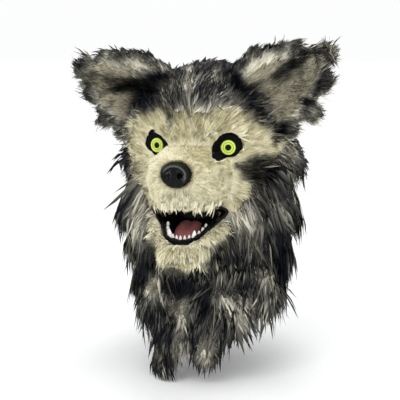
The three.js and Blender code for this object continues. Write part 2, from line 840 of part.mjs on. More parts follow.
// The ear's outer fabric with its tufts, all faces moved out by grow.
function earForm(ear, grow) {
  const frame = earFrame(ear);
  const side = EAR_WALL / 2 + grow;
  const sheet = earSheet(ear, { from: -side, to: side, over: grow });
  const tufts = EAR_LOCKS.map(({ reach, across, length }, i) => {
    const edge = Math.abs(across) > 0.5 ? Math.sign(across) : 0;
    const comb = frame.axis
      .clone()
      .addScaledVector(frame.width, edge * 0.9)
      .addScaledVector(frame.front, -0.25)
      .normalize();
    const back = frame.front.clone().negate();
    const out = back.addScaledVector(comb, -back.dot(comb)).normalize();
    const [middle] = earSection(ear, reach, across, 1, 0);
    const root = onEar(frame, reach, middle).addScaledVector(out, EAR_WALL / 2);
    const size = length * TUFT_LENGTH * (1 + LOCK_UNEVEN * uneven(i + ear.side));
    const shape = { lift: 0.35, width: LOCK_WIDTH * 0.62, sunk: EAR_WALL / 2 };
    return lock({ root, out, comb, length: size, ...shape }, grow);
  });
  return joined(sheet, tufts);
}

const headCore = (grow) => joined(headForm(grow, 60), muzzleForm(grow));

// Shell

const eyes = [
  { name: "left", side: 1 },
  { name: "right", side: -1 },
].map(({ name, side }) => {
  const x = (side * EYE_SPACING) / 2;
  const seat = new Vector3(x, faceSkinY(x, EYE_Z), EYE_Z);
  const turn = radians(EYE_TURN) * side;
  const frame = new THREE.Matrix4().makeBasis(
    new Vector3(Math.cos(turn), Math.sin(turn), 0),
    new Vector3(0, 0, 1),
    new Vector3(Math.sin(turn), -Math.cos(turn), 0),
  );
  frame.setPosition(seat);
  return { name, side, frame };
});

// The eye opening's outline, pointed at its lower inner corner and full at its outer top.
const EYE_OUTLINE = [
  { turn: 0, reach: 1 },
  { turn: 45, reach: 1.08 },
  { turn: 90, reach: 1 },
  { turn: 135, reach: 0.84 },
  { turn: 180, reach: 0.9 },
  { turn: 218, reach: 1.12 },
  { turn: 270, reach: 0.8 },
  { turn: 315, reach: 0.82 },
];

function eyePlug({ side, frame }, grow, from, to) {
  const outline = new THREE.SplineCurve(
    [...EYE_OUTLINE, { ...EYE_OUTLINE[0], turn: 360 }].map(({ turn, reach }) => {
      const angle = radians(turn);
      return new THREE.Vector2(
        side * (EYE_HALF_WIDTH * reach + grow) * Math.cos(angle),
        (EYE_HALF_HEIGHT * reach + grow) * Math.sin(angle),
      );
    }),
  );
  const shape = new THREE.Shape(outline.getPoints(EYE_OUTLINE_POINTS).slice(0, -1));
  const plug = new THREE.ExtrudeGeometry(shape, { depth: to - from, bevelEnabled: false });
  plug.translate(0, 0, from);
  plug.applyMatrix4(frame);
  return solidOf(plug);
}

const lathe = (profile, segments) =>
  new THREE.LatheGeometry(
    profile.map(([r, h]) => new THREE.Vector2(r, h)),
    segments,
  ).rotateX(Math.PI / 2);

function buildShell() {
  const outer = joined(headForm(0), muzzleForm(0));
  const inner = joined(headForm(-SHELL_WALL, 5), muzzleForm(-SHELL_WALL));
  const eyeHoles = eyes.map((eye) => eyePlug(eye, GAP, -EYE_CUT_REACH, EYE_CUT_REACH));
  const shell = outer.subtract(inner).subtract(joined(eyeHoles)).subtract(pouchForm(GAP, 20, 0.3));
  add("head_shell", shell, MATERIALS.shell);
}

// Eyes

function buildEyes() {
  for (const eye of eyes) {
    const seatFloor = EYE_PLUG_PROUD - IRIS_SEAT_DEPTH;
    const seat = lathe(
      [
        [0, seatFloor - GAP],
        [IRIS_RADIUS + GAP, seatFloor - GAP],
        [IRIS_RADIUS + GAP, EYE_PLUG_PROUD + 1],
        [0, EYE_PLUG_PROUD + 1],
      ],
      IRIS_SEGMENTS,
    ).applyMatrix4(eye.frame);
    const plug = eyePlug(eye, 0, EYE_PLUG_PROUD - EYE_PLUG_DEPTH, EYE_PLUG_PROUD);
    add("eye_socket_" + eye.name, plug.subtract(solidOf(seat)), MATERIALS.shell);

    const irisTop = seatFloor + IRIS_HEIGHT;
    const iris = lathe(
      [
        [PUPIL_RADIUS + GAP, seatFloor],
        [IRIS_RADIUS, seatFloor],
        [IRIS_RADIUS, irisTop - 2.2],
        [IRIS_RADIUS * 0.8, irisTop - 0.6],
        [IRIS_RADIUS * 0.66, irisTop - 1.2],
        [PUPIL_RADIUS + GAP, irisTop - 0.9],
        [PUPIL_RADIUS + GAP, seatFloor],
      ],
      IRIS_SEGMENTS,
    ).applyMatrix4(eye.frame);
    add("iris_" + eye.name, solidOf(iris), MATERIALS.iris);

    const pupil = lathe(
      [
        [0, seatFloor],
        [PUPIL_RADIUS, seatFloor],
        [PUPIL_RADIUS, irisTop - 1.4],
        [PUPIL_RADIUS * 0.6, irisTop - 0.9],
        [0, irisTop - 1.8],
      ],
      10,
    ).applyMatrix4(eye.frame);
    add("pupil_" + eye.name, solidOf(pupil), MATERIALS.gloss);
  }
}

// Nose

// The nose pad is seated on the muzzle's tip, with two nostrils and a middle groove.
function noseBall(grow) {
  const ball = new THREE.SphereGeometry(1, 12, 8);
  ball.scale(NOSE_HALF_WIDTH + grow, NOSE_HALF_DEPTH + grow, NOSE_HALF_HEIGHT + grow);
  ball.translate(0, MUZZLE_TIP_Y - NOSE_PROUD, NOSE_Z);
  return solidOf(ball);
}

function buildNose() {
  const nostrils = [1, -1].map((side) => {
    const hole = new THREE.SphereGeometry(1, 7, 4);
    hole.scale(NOSTRIL_HALF_WIDTH, NOSTRIL_DEPTH, NOSTRIL_HALF_HEIGHT);
    hole.translate(
      side * NOSE_HALF_WIDTH * 0.52,
      MUZZLE_TIP_Y - NOSE_PROUD - NOSE_HALF_DEPTH * 0.82,
      NOSE_Z - NOSE_HALF_HEIGHT * 0.28,
    );
    return solidOf(hole);
  });
  const pad = noseBall(0).subtract(muzzleForm(GAP)).subtract(joined(nostrils));
  add("nose", pad, MATERIALS.gloss);
}

// Mouth

function buildMouth() {
  const inside = pouchForm(-LINING_WALL, -LINING_WALL, 0.3);
  const pouch = pouchForm(0).subtract(inside).subtract(jawForm({ top: 1, grow: GAP, past: 3 }));
  add("mouth_lining", pouch, MATERIALS.shell);
}

// The space over the step inside the jaw's lip, where the teeth stand, and over the lip.
const toothSpace = (clear) =>
  joined(
    jawForm({ inset: LIP_WIDTH + clear, depth: GUM_DEPTH - clear, top: 2, past: 4 }),
    aboveLip(-clear),
  );

const tongueBed = (clear) =>
  jawForm({
    inset: LIP_WIDTH + GUM_WIDTH + clear,
    depth: TONGUE_BED_DEPTH - clear,
    top: 2,
    past: 4,
  });

function buildJaw() {
  const tray = jawForm({}).subtract(joined(toothSpace(0), tongueBed(0)));
  add("jaw", tray.subtract(headCore(GAP)), MATERIALS.shell);
}

// A place on the gum at a share of the jaw's length, or round its front by an angle.
function gumPlace(side, reach) {
  const row = rowAt(JAW_ROWS, "reach", reach);
  const inset = LIP_WIDTH + GUM_WIDTH / 2;
  const y = jawY(reach) + inset * reach ** 4;
  return new Vector3(
    side * (row.half * JAW_HALF_WIDTH - inset),
    y,
    jawLipZ(y) - GUM_DEPTH - TOOTH_ROOT,
  );
}

// Where the teeth stand, as shares of JAW_LENGTH.
const INCISOR_REACH = 0.84;
const CANINE_REACH = 0.73;
const MOLAR_REACHES = [0.63, 0.55, 0.47];

// A crown with a pointed or blunt top.
function tooth(place, height, width, blunt) {
  const levels = [
    { up: 0, spread: 1 },
    { up: 0.6, spread: 0.9 },
    { up: 1, spread: blunt ? 0.45 : 0.12 },
  ];
  const at = (up, spread, angle) =>
    new Vector3(Math.cos(angle), Math.sin(angle), 0)
      .multiplyScalar((spread * width) / 2)
      .add(new Vector3(place.x, place.y, place.z + up * (height + TOOTH_ROOT)));
  return loft(levels.map(({ up, spread }) => ringOf(5, (angle) => at(up, spread, angle))));
}

function buildTeeth() {
  const space = toothSpace(GAP);
  const addTeeth = (name, crowns) => add(name, joined(crowns).intersect(space), MATERIALS.tooth);
  const molarWidth = 1.3 * (MOLAR_REACHES[0] - MOLAR_REACHES[1]) * JAW_LENGTH;
  const front = gumPlace(1, INCISOR_REACH);
  const pitch = (2 * front.x) / (INCISOR_COUNT - 1);
  const incisors = Array.from({ length: INCISOR_COUNT }, (_, k) => {
    const across = (k / (INCISOR_COUNT - 1)) * 2 - 1;
    const bow = 1 - across * across;
    const place = new Vector3(across * front.x, front.y - 3 * bow, front.z - 1.2 * bow);
    return tooth(place, INCISOR_HEIGHT, pitch * 1.2, false);
  });
  addTeeth("incisors", incisors);
  for (const [name, side] of [["left", 1], ["right", -1]]) {
    const canine = tooth(gumPlace(side, CANINE_REACH), CANINE_HEIGHT, CANINE_WIDTH, false);
    addTeeth("canine_" + name, [canine]);
    const molars = MOLAR_REACHES.map((reach) =>
      tooth(gumPlace(side, reach), MOLAR_HEIGHT, molarWidth, true),
    );
    addTeeth("molars_" + name, molars);
  }
}

// The tongue lies in its bed with a groove down its middle.
function buildTongue() {
  const sections = [
    { reach: 0, half: 0.82, rise: 1 },
    { reach: 0.3, half: 1, rise: 1.1 },
    { reach: 0.6, half: 0.95, rise: 1 },
    { reach: 0.85, half: 0.7, rise: 0.8 },
    { reach: 0.97, half: 0.4, rise: 0.5 },
    { reach: 1, half: 0.15, rise: 0.3 },
  ];
  const start = 0.12;
  const rings = sections.map(({ reach, half, rise }) => {
    const at = start + reach * (TONGUE_LENGTH / JAW_LENGTH);
    const row = rowAt(JAW_ROWS, "reach", at);
    const bedHalf = row.half * JAW_HALF_WIDTH - LIP_WIDTH - GUM_WIDTH - 2 * GAP;
    const wide = Math.min(half * (JAW_HALF_WIDTH - LIP_WIDTH - GUM_WIDTH - 5), bedHalf * 0.9);
    const floor = jawLipZ(jawY(at)) - TONGUE_BED_DEPTH * 0.62;
    const ring = [];
    for (let k = -4; k <= 4; k++) {
      const u = k / 4;
      const groove = 0.28 * Math.exp(-((u / 0.22) ** 2));
      const up = TONGUE_THICKNESS * rise * ((1 - Math.abs(u) ** 2.6) * (1 - groove));
      ring.push(new Vector3(u * wide, jawY(at), floor + up));
    }
    for (const u of [0.6, 0, -0.6]) {
      ring.push(new Vector3(u * wide, jawY(at), floor - TONGUE_THICKNESS * 0.25 * rise));
    }
    return ring;
  });
  const space = joined(tongueBed(GAP), aboveLip(-GAP));
  add("tongue", loft(rings).intersect(space), MATERIALS.tongue);
}

// Pelts

// The space under the muzzle inside the lips, kept clear of fur.
function mouthVoid() {
  const rim = MOUTH_ROWS.filter(({ turn }) => turn <= 90);
  const lip = (row, side) => [
    side * row.out * (MOUTH_HALF_WIDTH + GAP),
    MOUTH_CORNER_Y - row.reach * MOUTH_REACH - GAP,
  ];
  const plan = [
    ...rim.map((row) => lip(row, 1)),
    [THROAT_HALF_WIDTH, THROAT_Y],
    [-THROAT_HALF_WIDTH, THROAT_Y],
    ...rim
      .slice(1)
      .reverse()
      .map((row) => lip(row, -1)),
  ];
  const ring = (z) => plan.map(([x, y]) => new Vector3(x, y, z));
  return loft([ring(MOUTH_TOP_Z + 10), ring(MOUTH_TOP_Z - 1.5 * MOUTH_HEIGHT)]);
}

const mouthClearance = () =>
  joined(
    pouchForm(GAP, 0, 0.3),
    jawForm({ top: 3, grow: GAP + 0.2, past: 5 }),
    mouthVoid(),
  );

function buildFace() {
  const layer = joined(headForm(FACE_PILE), muzzleForm(FACE_PILE));
  const eyeHoles = eyes.map((eye) => eyePlug(eye, GAP, -EYE_CUT_REACH, EYE_CUT_REACH));
  const face = layer
    .intersect(faceCut(0))
    .subtract(headCore(GAP))
    .subtract(joined(eyeHoles))
    .subtract(noseBall(GAP))
    .subtract(mouthClearance());
  add("face_fur", face, MATERIALS.faceFur);
}

function hoodLocks(grow) {
  const locks = [];
  HOOD_LOCK_RINGS.forEach(({ drop, count, shift, length, lift }, ring) => {
    for (let k = 0; k < count; k++) {
      const angle = ((k + shift) / count) * 2 * Math.PI;
      if (onFace(angle, drop, 0.05)) continue;
      if (drop > 0.7 && Math.cos(angle) > 0.72) continue;
      const root = onHead(angle, drop, UNDERFUR);
      const seat = new Vector3(Math.sign(root.x) * EAR_SIDE_X, EAR_SEAT_Y, EAR_SEAT_Z);
      if (root.distanceTo(seat) < EAR_CLEARING) continue;
      const out = outwardAt(onHead, angle, drop);
      const size = length * LOCK_LENGTH * (1 + LOCK_UNEVEN * uneven(ring * 31 + k));
      locks.push(lock({ root, out, comb: combAt(root, out), length: size, lift }, grow));
    }
  });
  return locks;
}

const hoodForm = (grow) =>
  joined(headForm(UNDERFUR + grow), hoodLocks(grow)).subtract(headCore(GAP)).subtract(faceCut(GAP));

const chinLayer = (grow) =>
  jawForm({ grow: CHIN_PILE + grow, past: 4 }).subtract(aboveLip(2 - grow));

function chinLocks(grow) {
  const spots = [
    { angle: -62, reach: 0.45 },
    { angle: -35, reach: 0.7 },
    { angle: 0, reach: 0.9 },
    { angle: 35, reach: 0.7 },
    { angle: 62, reach: 0.45 },
  ];
  return spots.map(({ angle, reach }, i) => {
    const row = rowAt(JAW_ROWS, "reach", reach);
    const turn = radians(angle);
    const out = new Vector3(Math.sin(turn), -0.5, -Math.cos(turn)).normalize();
    const root = new Vector3(
      Math.sin(turn) * (row.half * JAW_HALF_WIDTH + CHIN_PILE * 0.8),
      jawY(reach),
      jawLipZ(jawY(reach)) - Math.cos(turn) * (row.depth * JAW_DEPTH + CHIN_PILE * 0.5),
    );
    const comb = new Vector3(Math.sin(turn) * 0.4, 0.35, -1).normalize();
    const size = 0.7 * TUFT_LENGTH * (1 + LOCK_UNEVEN * uneven(i));
    return lock({ root, out, comb, length: size, lift: 0.4, width: LOCK_WIDTH * 0.55 }, grow);
  });
}

const chinForm = (grow) =>
  joined(chinLayer(grow), chinLocks(grow)).subtract(aboveLip(2 - grow));

function neckLocks() {
  const locks = [];
  NECK_LOCK_RINGS.forEach(({ fall, count, shift, length, lift }, ring) => {
    for (let k = 0; k < count; k++) {
      const angle = ((k + shift) / count) * 2 * Math.PI;
      const root = onNeck(angle, fall, NECK_PILE);
      const out = outwardAt(onNeck, angle, fall);
      const size = length * LOCK_LENGTH * (1 + LOCK_UNEVEN * uneven(ring * 17 + k + 5));
      locks.push(lock({ root, out, comb: combAt(root, out), length: size, lift }, 0));
    }
  });
  return locks;
}

function buildPelts() {
  const ears = (grow) => joined(EARS.map((ear) => earForm(ear, grow)));
  const linings = (grow) => joined(EARS.map((ear) => liningSheet(ear, grow)));
  const hood = hoodForm(0)
    .subtract(ears(GAP))
    .subtract(linings(GAP))
    .subtract(mouthClearance())
    .subtract(chinForm(GAP));
  add("hood_fur", hood, MATERIALS.hoodFur);
  for (const ear of EARS) {
    const trim = joined(headCore(GAP), faceCut(GAP));
    add("ear_" + ear.name, earForm(ear, 0).subtract(trim), MATERIALS.hoodFur);
    const outer = joined(earForm(ear, LINING_CLEAR), earForm(ear, GAP));
    const lining = liningSheet(ear, 0).subtract(outer).subtract(trim);
    add("ear_lining_" + ear.name, lining, MATERIALS.lining);
  }
  const chin = chinForm(0).subtract(jawForm({ grow: GAP, past: 8 })).subtract(headCore(GAP));
  add("chin_fur", chin.subtract(pouchForm(GAP)), MATERIALS.faceFur);

  const neck = joined(neckForm(NECK_PILE), neckLocks())
    .subtract(neckForm(GAP, 40))
    .subtract(headCore(GAP))
    .subtract(hoodForm(GAP))
    .subtract(chinForm(GAP))
    .subtract(jawForm({ grow: GAP, past: 8 }));
  add("neck_fur", neck, MATERIALS.hoodFur);
  add("neck_cloth", neckForm(0).subtract(neckForm(-CLOTH_WALL, 10)), MATERIALS.cloth);
}

buildShell();
buildEyes();
buildNose();
buildMouth();
buildJaw();
buildTeeth();
buildTongue();
buildFace();
buildPelts();

export default mask;
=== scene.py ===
# %% [markdown]
# # A furry wolf mask
# A full head mask in long grey faux fur: a short cream face, black waved locks round it, folded
# ears, glossy eyes and nose, and an open mouth. The hard pieces come in as a fixed frame, and
# every finish and every hair is made here, in metres.

# %% Load the frame
import math

import bmesh
import bpy
import numpy as np
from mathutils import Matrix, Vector
from mathutils.bvhtree import BVHTree


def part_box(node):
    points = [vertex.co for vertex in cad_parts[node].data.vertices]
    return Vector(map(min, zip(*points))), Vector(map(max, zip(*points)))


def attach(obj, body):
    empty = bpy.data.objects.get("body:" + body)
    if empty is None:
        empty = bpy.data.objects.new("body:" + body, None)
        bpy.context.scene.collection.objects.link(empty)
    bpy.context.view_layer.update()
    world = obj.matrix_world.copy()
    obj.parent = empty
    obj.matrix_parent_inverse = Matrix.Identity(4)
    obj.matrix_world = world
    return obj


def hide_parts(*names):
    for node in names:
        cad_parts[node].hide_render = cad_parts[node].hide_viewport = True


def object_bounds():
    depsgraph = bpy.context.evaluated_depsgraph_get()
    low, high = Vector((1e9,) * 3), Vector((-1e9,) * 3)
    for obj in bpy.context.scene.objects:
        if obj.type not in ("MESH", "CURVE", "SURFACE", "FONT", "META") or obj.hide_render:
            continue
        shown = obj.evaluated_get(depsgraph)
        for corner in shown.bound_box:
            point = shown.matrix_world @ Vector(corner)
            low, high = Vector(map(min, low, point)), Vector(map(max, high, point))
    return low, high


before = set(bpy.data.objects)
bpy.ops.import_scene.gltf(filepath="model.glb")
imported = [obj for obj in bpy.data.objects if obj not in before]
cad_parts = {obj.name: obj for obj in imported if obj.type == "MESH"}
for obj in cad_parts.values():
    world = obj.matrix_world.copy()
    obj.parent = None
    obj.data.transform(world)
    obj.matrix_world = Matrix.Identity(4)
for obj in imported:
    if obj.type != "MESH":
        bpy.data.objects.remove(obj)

frame_box = [list(corner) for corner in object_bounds()]
print("frame box", [[round(v, 3) for v in corner] for corner in frame_box])

# %% [markdown]
# The camera stands where the photographer stood: a little to the wolf's left and above. Its
# directions are kept, because the coat is charted from that same place later on.

# %% Camera
VIEW_TURN = math.radians(16.5)
VIEW_RISE = math.radians(10)
VIEW_DISTANCE = 1.3
VIEW_WIDTH = 0.6
AIM_ACROSS = -0.015
AIM_UP = -0.185

view_right = np.array([math.cos(VIEW_TURN), math.sin(VIEW_TURN), 0])
view_back = np.array([
    math.sin(VIEW_TURN) * math.cos(VIEW_RISE),
    -math.cos(VIEW_TURN) * math.cos(VIEW_RISE),
    math.sin(VIEW_RISE),
])
view_up = np.cross(view_back, view_right)
view_aim = AIM_ACROSS * view_right + AIM_UP * view_up
view_place = view_aim + VIEW_DISTANCE * view_back


def add_object(name, data):
    """An object with that data, in the scene."""
    thing = bpy.data.objects.new(name, data)
    bpy.context.scene.collection.objects.link(thing)
    return thing


def turned_from(way):
    """The turn of a camera or light that looks against that way."""
    return Vector(way).to_track_quat("Z", "Y").to_euler()


camera = add_object("camera", bpy.data.cameras.new("camera"))
camera.location = view_place
camera.rotation_euler = turned_from(view_back)
camera.data.angle = 2 * math.atan(VIEW_WIDTH / 2 / VIEW_DISTANCE)
bpy.context.scene.camera = camera
print("camera at", view_place.round(3))

# %% [markdown]
# A soft studio: a white floor just under the hem, a white world that fills the shadows, three area
# lights and a weak, even sun. The key light is small enough to put a bright spot on the nose and
# eyes. The Standard view keeps the floor white and lets the black locks go black, as in a product
# photo.

# %% Floor and light
FLOOR_DROP = 0.014
FLOOR_HALF = 30
FLOOR_CORNERS = ((-1, -1), (1, -1), (1, 1), (-1, 1))
LIGHT_AIM = (0, 0, -0.17)

floor_mesh = bpy.data.meshes.new("floor")
floor_z = frame_box[0][2] - FLOOR_DROP
floor_places = [(x * FLOOR_HALF, y * FLOOR_HALF, floor_z) for x, y in FLOOR_CORNERS]
floor_mesh.from_pydata(floor_places, [], [(0, 1, 2, 3)])
floor = add_object("floor", floor_mesh)

world = bpy.data.worlds.new("white_room")
world.use_nodes = True
background = world.node_tree.nodes["Background"]
background.inputs["Color"].default_value = (0.98, 0.985, 0.985, 1)
background.inputs["Strength"].default_value = 1.0
bpy.context.scene.world = world
bpy.context.scene.view_settings.view_transform = "Standard"


def soft_light(name, place, size, power):
    """An area light of that size, turned to the middle of the mask."""
    light = add_object(name, bpy.data.lights.new(name, "AREA"))
    light.data.size = size
    light.data.energy = power
    light.location = place
    light.rotation_euler = turned_from(Vector(place) - Vector(LIGHT_AIM))


soft_light("key_light", (-0.8, -1.5, 1.4), 0.4, 5)
soft_light("fill_light", (1.5, -1.4, 0.5), 1.2, 6)
soft_light("top_light", (0.1, 0.1, 1.7), 0.6, 7)
even_light = add_object("even_light", bpy.data.lights.new("even_light", "SUN"))
even_light.data.energy = 0.4
even_light.data.angle = math.radians(30)
even_light.rotation_euler = turned_from((-0.1, -0.7, 0.9))
print("floor at", round(floor_z, 3), "and", len(bpy.data.lights), "lights")

# %% [markdown]
# Every material starts as a Principled surface with its plain values, and the nodes of each finish
# are joined to it afterwards. Small helpers do the joining, which keeps each finish to a few lines.


# %% Material helpers
def new_material(name, **values):
    """A material with one Principled surface, with plain values set on the shader's own sockets."""
    material = bpy.data.materials.new(name)
    material.use_nodes = True
    shader = material.node_tree.nodes["Principled BSDF"]
    for socket, value in values.items():
        shader.inputs[socket.replace("_", " ")].default_value = value
    return material, material.node_tree, shader


def add_node(tree, kind, **settings):
    """A node of that kind, with its settings. A setting that names an input sets its value."""
    node = tree.nodes.new(kind)
    for key, value in settings.items():
        if key in node.inputs:
            node.inputs[key].default_value = value
        else:
            setattr(node, key, value)
    return node


def color_steps(tree, source, *steps):
    """A colour ramp read by a socket, or by the vertex attribute of that name, with a (place,
    colour) pair for each step."""
    if isinstance(source, str):
        source = add_node(tree, "ShaderNodeAttribute", attribute_name=source).outputs["Fac"]
    ramp = add_node(tree, "ShaderNodeValToRGB")
    points = ramp.color_ramp.elements
    while len(points) < len(steps):
        points.new(0.5)
    for point, (place, color) in zip(points, steps):
        point.position = place
        point.color = (*color, 1)
    tree.links.new(source, ramp.inputs["Fac"])
    return ramp.outputs["Color"]


def bumped(tree, shader, height, strength, distance):
    """Joins a height to the shader's normal through a Bump node."""
    bump = add_node(tree, "ShaderNodeBump", Strength=strength, Distance=distance)
    tree.links.new(height, bump.inputs["Height"])
    tree.links.new(bump.outputs["Normal"], shader.inputs["Normal"])


# %% [markdown]
# Grain is an effect that the plastic, the gums, the nose and the wool share, so it is one group:
# colour x (1 + strength (noise - 0.5)), and the noise itself as a height that a Bump node reads.

# %% Grain group
grain_group = bpy.data.node_groups.new("moulded_grain", "ShaderNodeTree")
for label, way, kind in (
    ("Color", "INPUT", "Color"), ("Scale", "INPUT", "Float"), ("Strength", "INPUT", "Float"),
    ("Color", "OUTPUT", "Color"), ("Height", "OUTPUT", "Float"),
):
    grain_group.interface.new_socket(label, in_out=way, socket_type="NodeSocket" + kind)
group_in = add_node(grain_group, "NodeGroupInput")
group_out = add_node(grain_group, "NodeGroupOutput")
group_place = add_node(grain_group, "ShaderNodeTexCoord")
fine = add_node(grain_group, "ShaderNodeTexNoise", Detail=4)
spread = add_node(grain_group, "ShaderNodeMath", operation="SUBTRACT")
spread.inputs[1].default_value = 0.5
amount = add_node(grain_group, "ShaderNodeMath", operation="MULTIPLY_ADD")
amount.inputs[2].default_value = 1
shaded = add_node(grain_group, "ShaderNodeVectorMath", operation="SCALE")
for source, output, target, entry in (
    (group_place, "Object", fine, "Vector"), (group_in, "Scale", fine, "Scale"),
    (fine, "Fac", spread, 0), (spread, "Value", amount, 0), (group_in, "Strength", amount, 1),
    (group_in, "Color", shaded, 0), (amount, "Value", shaded, "Scale"),
    (shaded, "Vector", group_out, "Color"), (fine, "Fac", group_out, "Height"),
):
    grain_group.links.new(source.outputs[output], target.inputs[entry])


def grained(tree, shader, color, scale, strength, depth=0, bump=0.6):
    """Lays the grain over a colour, plain or from a socket. A depth roughens the surface too."""
    grain = add_node(tree, "ShaderNodeGroup", node_tree=grain_group, Scale=scale, Strength=strength)
    if isinstance(color, tuple):
        grain.inputs["Color"].default_value = (*color, 1)
    else:
        tree.links.new(color, grain.inputs["Color"])
    tree.links.new(grain.outputs["Color"], shader.inputs["Base Color"])
    if depth:
        bumped(tree, shader, grain.outputs["Height"], bump, depth)


def grained_material(name, color, scale, strength, depth, **values):
    """A material of one colour under the grain."""
    material, tree, shader = new_material(name, **values)
    grained(tree, shader, color, scale, strength, depth)
    return material


shell_black = grained_material(
    "shell_black", (0.010, 0.010, 0.011), 260, 0.9, 0.0004, Roughness=0.6, Specular_IOR_Level=0.15)
gum_black = grained_material(
    "gum_black", (0.003, 0.003, 0.0035), 190, 0.8, 0.0005, Roughness=0.35, Specular_IOR_Level=0.12)
nose_black = grained_material(
    "nose_black", (0.001, 0.0016, 0.0013), 420, 0.8, 0.0002, Roughness=0.3, Specular_IOR_Level=0.03,
    Coat_Weight=0.22, Coat_Roughness=0.04)
socket_black = grained_material(
    "socket_black", (0.004, 0.004, 0.005), 300, 0.8, 0.0003, Roughness=0.5, Specular_IOR_Level=0.03)
tooth_white = grained_material(
    "tooth_white", (0.93, 0.90, 0.86), 160, 0.1, 0.0001, Roughness=0.25, Coat_Weight=0.4, Coat_Roughness=0.1)
tongue_red = grained_material(
    "tongue_red", (0.33, 0.115, 0.11), 420, 0.4, 0.0005, Roughness=0.45, Specular_IOR_Level=0.3)
floor_white = grained_material("floor_white", (0.93, 0.935, 0.935), 3, 0.02, 0.0002, Roughness=0.8)
floor_mesh.materials.append(floor_white)
print("plain materials", len(bpy.data.materials))

# %% [markdown]
# Most new pieces are surfaces of two parameters: rows and columns of points worked out with numpy
# and joined into faces. One helper turns such grids into a mesh, one reads a table, and one draws
# a round section along a path, as for a lip.


# %% Mesh helpers
def unit(vectors):
    """Each row divided by its own length."""
    return vectors / np.maximum(np.linalg.norm(vectors, axis=-1, keepdims=True), 1e-9)


def smoothstep(value, low, high):
    """0 below low, 1 above high, and 3s^2 - 2s^3 between them, where s is the share of the way."""
    share = np.clip((value - low) / (high - low), 0, 1)
    return share * share * (3 - 2 * share)


def circle(count):
    """The angles of that many even steps round a circle."""
    return np.arange(count) / count * 2 * math.pi


def read_table(table, at):
    """Each further column of a table, read at those values of its first column."""
    return [np.interp(at, table[:, 0], column) for column in table.T[1:]]


def make_mesh(name, points, faces):
    """An object from an (n, 3) array of points and an (m, k) array of faces with k corners."""
    mesh = bpy.data.meshes.new(name)
    count, corners = faces.shape
    mesh.vertices.add(len(points))
    mesh.vertices.foreach_set("co", np.ascontiguousarray(points, dtype=np.float32).ravel())
    mesh.loops.add(count * corners)
    mesh.loops.foreach_set("vertex_index", np.ascontiguousarray(faces, dtype=np.int32).ravel())
    mesh.polygons.add(count)
    mesh.polygons.foreach_set("loop_start", np.arange(0, count * corners, corners, dtype=np.int32))
    mesh.update(calc_edges=True)
    mesh.shade_smooth()
    return add_object(name, mesh)


def bell(value, middle, width):
    """exp(-((value - middle) / width)^2): 1 at the middle, and falling off on both sides."""
    return np.exp(-(((value - middle) / width) ** 2))


def add_solid(name, grids, material, slot, *nodes):
    """Closed, dressed solids from grids of rings, with merged poles and faces turned outwards."""
    points, faces, start = [], [], 0
    for grid in grids:
        rows, columns = grid.shape[:2]
        i, j = np.meshgrid(np.arange(rows - 1), np.arange(columns), indexing="ij")
        beside = (j + 1) % columns
        corners = [i * columns + j, i * columns + beside, (i + 1) * columns + beside, (i + 1) * columns + j]
        faces.append(start + np.stack(corners, axis=-1).reshape(-1, 4))
        points.append(grid.reshape(-1, 3))
        start += rows * columns
    piece = make_mesh(name, np.concatenate(points), np.concatenate(faces))
    work = bmesh.new()
    work.from_mesh(piece.data)
    bmesh.ops.remove_doubles(work, verts=work.verts, dist=1e-7)
    bmesh.ops.recalc_face_normals(work, faces=work.faces)
    work.to_mesh(piece.data)
    work.free()
    piece.data.shade_smooth()
    print(name, len(piece.data.polygons), "faces")
    return dress(piece, material, slot, *nodes)


def capped(rings):
    """A grid of rings with a point in the middle of each end."""
    middles = rings.mean(axis=1, keepdims=True).repeat(rings.shape[1], axis=1)
    return np.concatenate([middles[:1], rings, middles[-1:]])


def swept(path, radii, count=14):
    """Rings round a path: its place + r (cos a side + sin a up), where side and up are square to
    the path."""
    ahead = unit(np.gradient(path, axis=0))
    side = unit(np.cross(ahead, [0, 0.05, 1.0]))
    up = np.cross(side, ahead)
    angle = circle(count)[None, :, None]
    round_it = np.cos(angle) * side[:, None] + np.sin(angle) * up[:, None]
    return capped(path[:, None] + radii[:, None, None] * round_it)


def eased(path, rounds):
    """A path whose inner points are moved to the mean of their neighbours, that many times."""
    for _ in range(rounds):
        path = np.concatenate([path[:1], (path[:-2] + 2 * path[1:-1] + path[2:]) / 4, path[-1:]])
    return path


def dress(piece, material, slot, *nodes):
    """Gives a piece its material, and lets it ride on the body and stand for CAD nodes. The slot is not used.
    """
    piece.data.materials.clear()
    piece.data.materials.append(material)
    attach(piece, "root")
    if nodes:
        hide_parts(*nodes)
    return piece


def attribute(piece, name, values):
    """A number for each vertex, which a material can read by its name."""
    layer = piece.data.attributes.new(name, "FLOAT", "POINT")
    layer.data.foreach_set("value", np.ascontiguousarray(values, dtype=np.float32).ravel())


def places_of(piece):
    """The places and normals of a piece's vertices."""
    found = np.empty((2, len(piece.data.vertices) * 3), dtype=np.float32)
    piece.data.vertices.foreach_get("co", found[0])
    piece.data.vertex_normals.foreach_get("vector", found[1])
    return found.reshape(2, -1, 3)


# %% [markdown]
# Under the hair lies dense wool. Each pelt's solid is remeshed and smoothed into a soft form, which
# gives the hair its roots. A voxel remesh keeps the locks' form and needs no tidy topology.


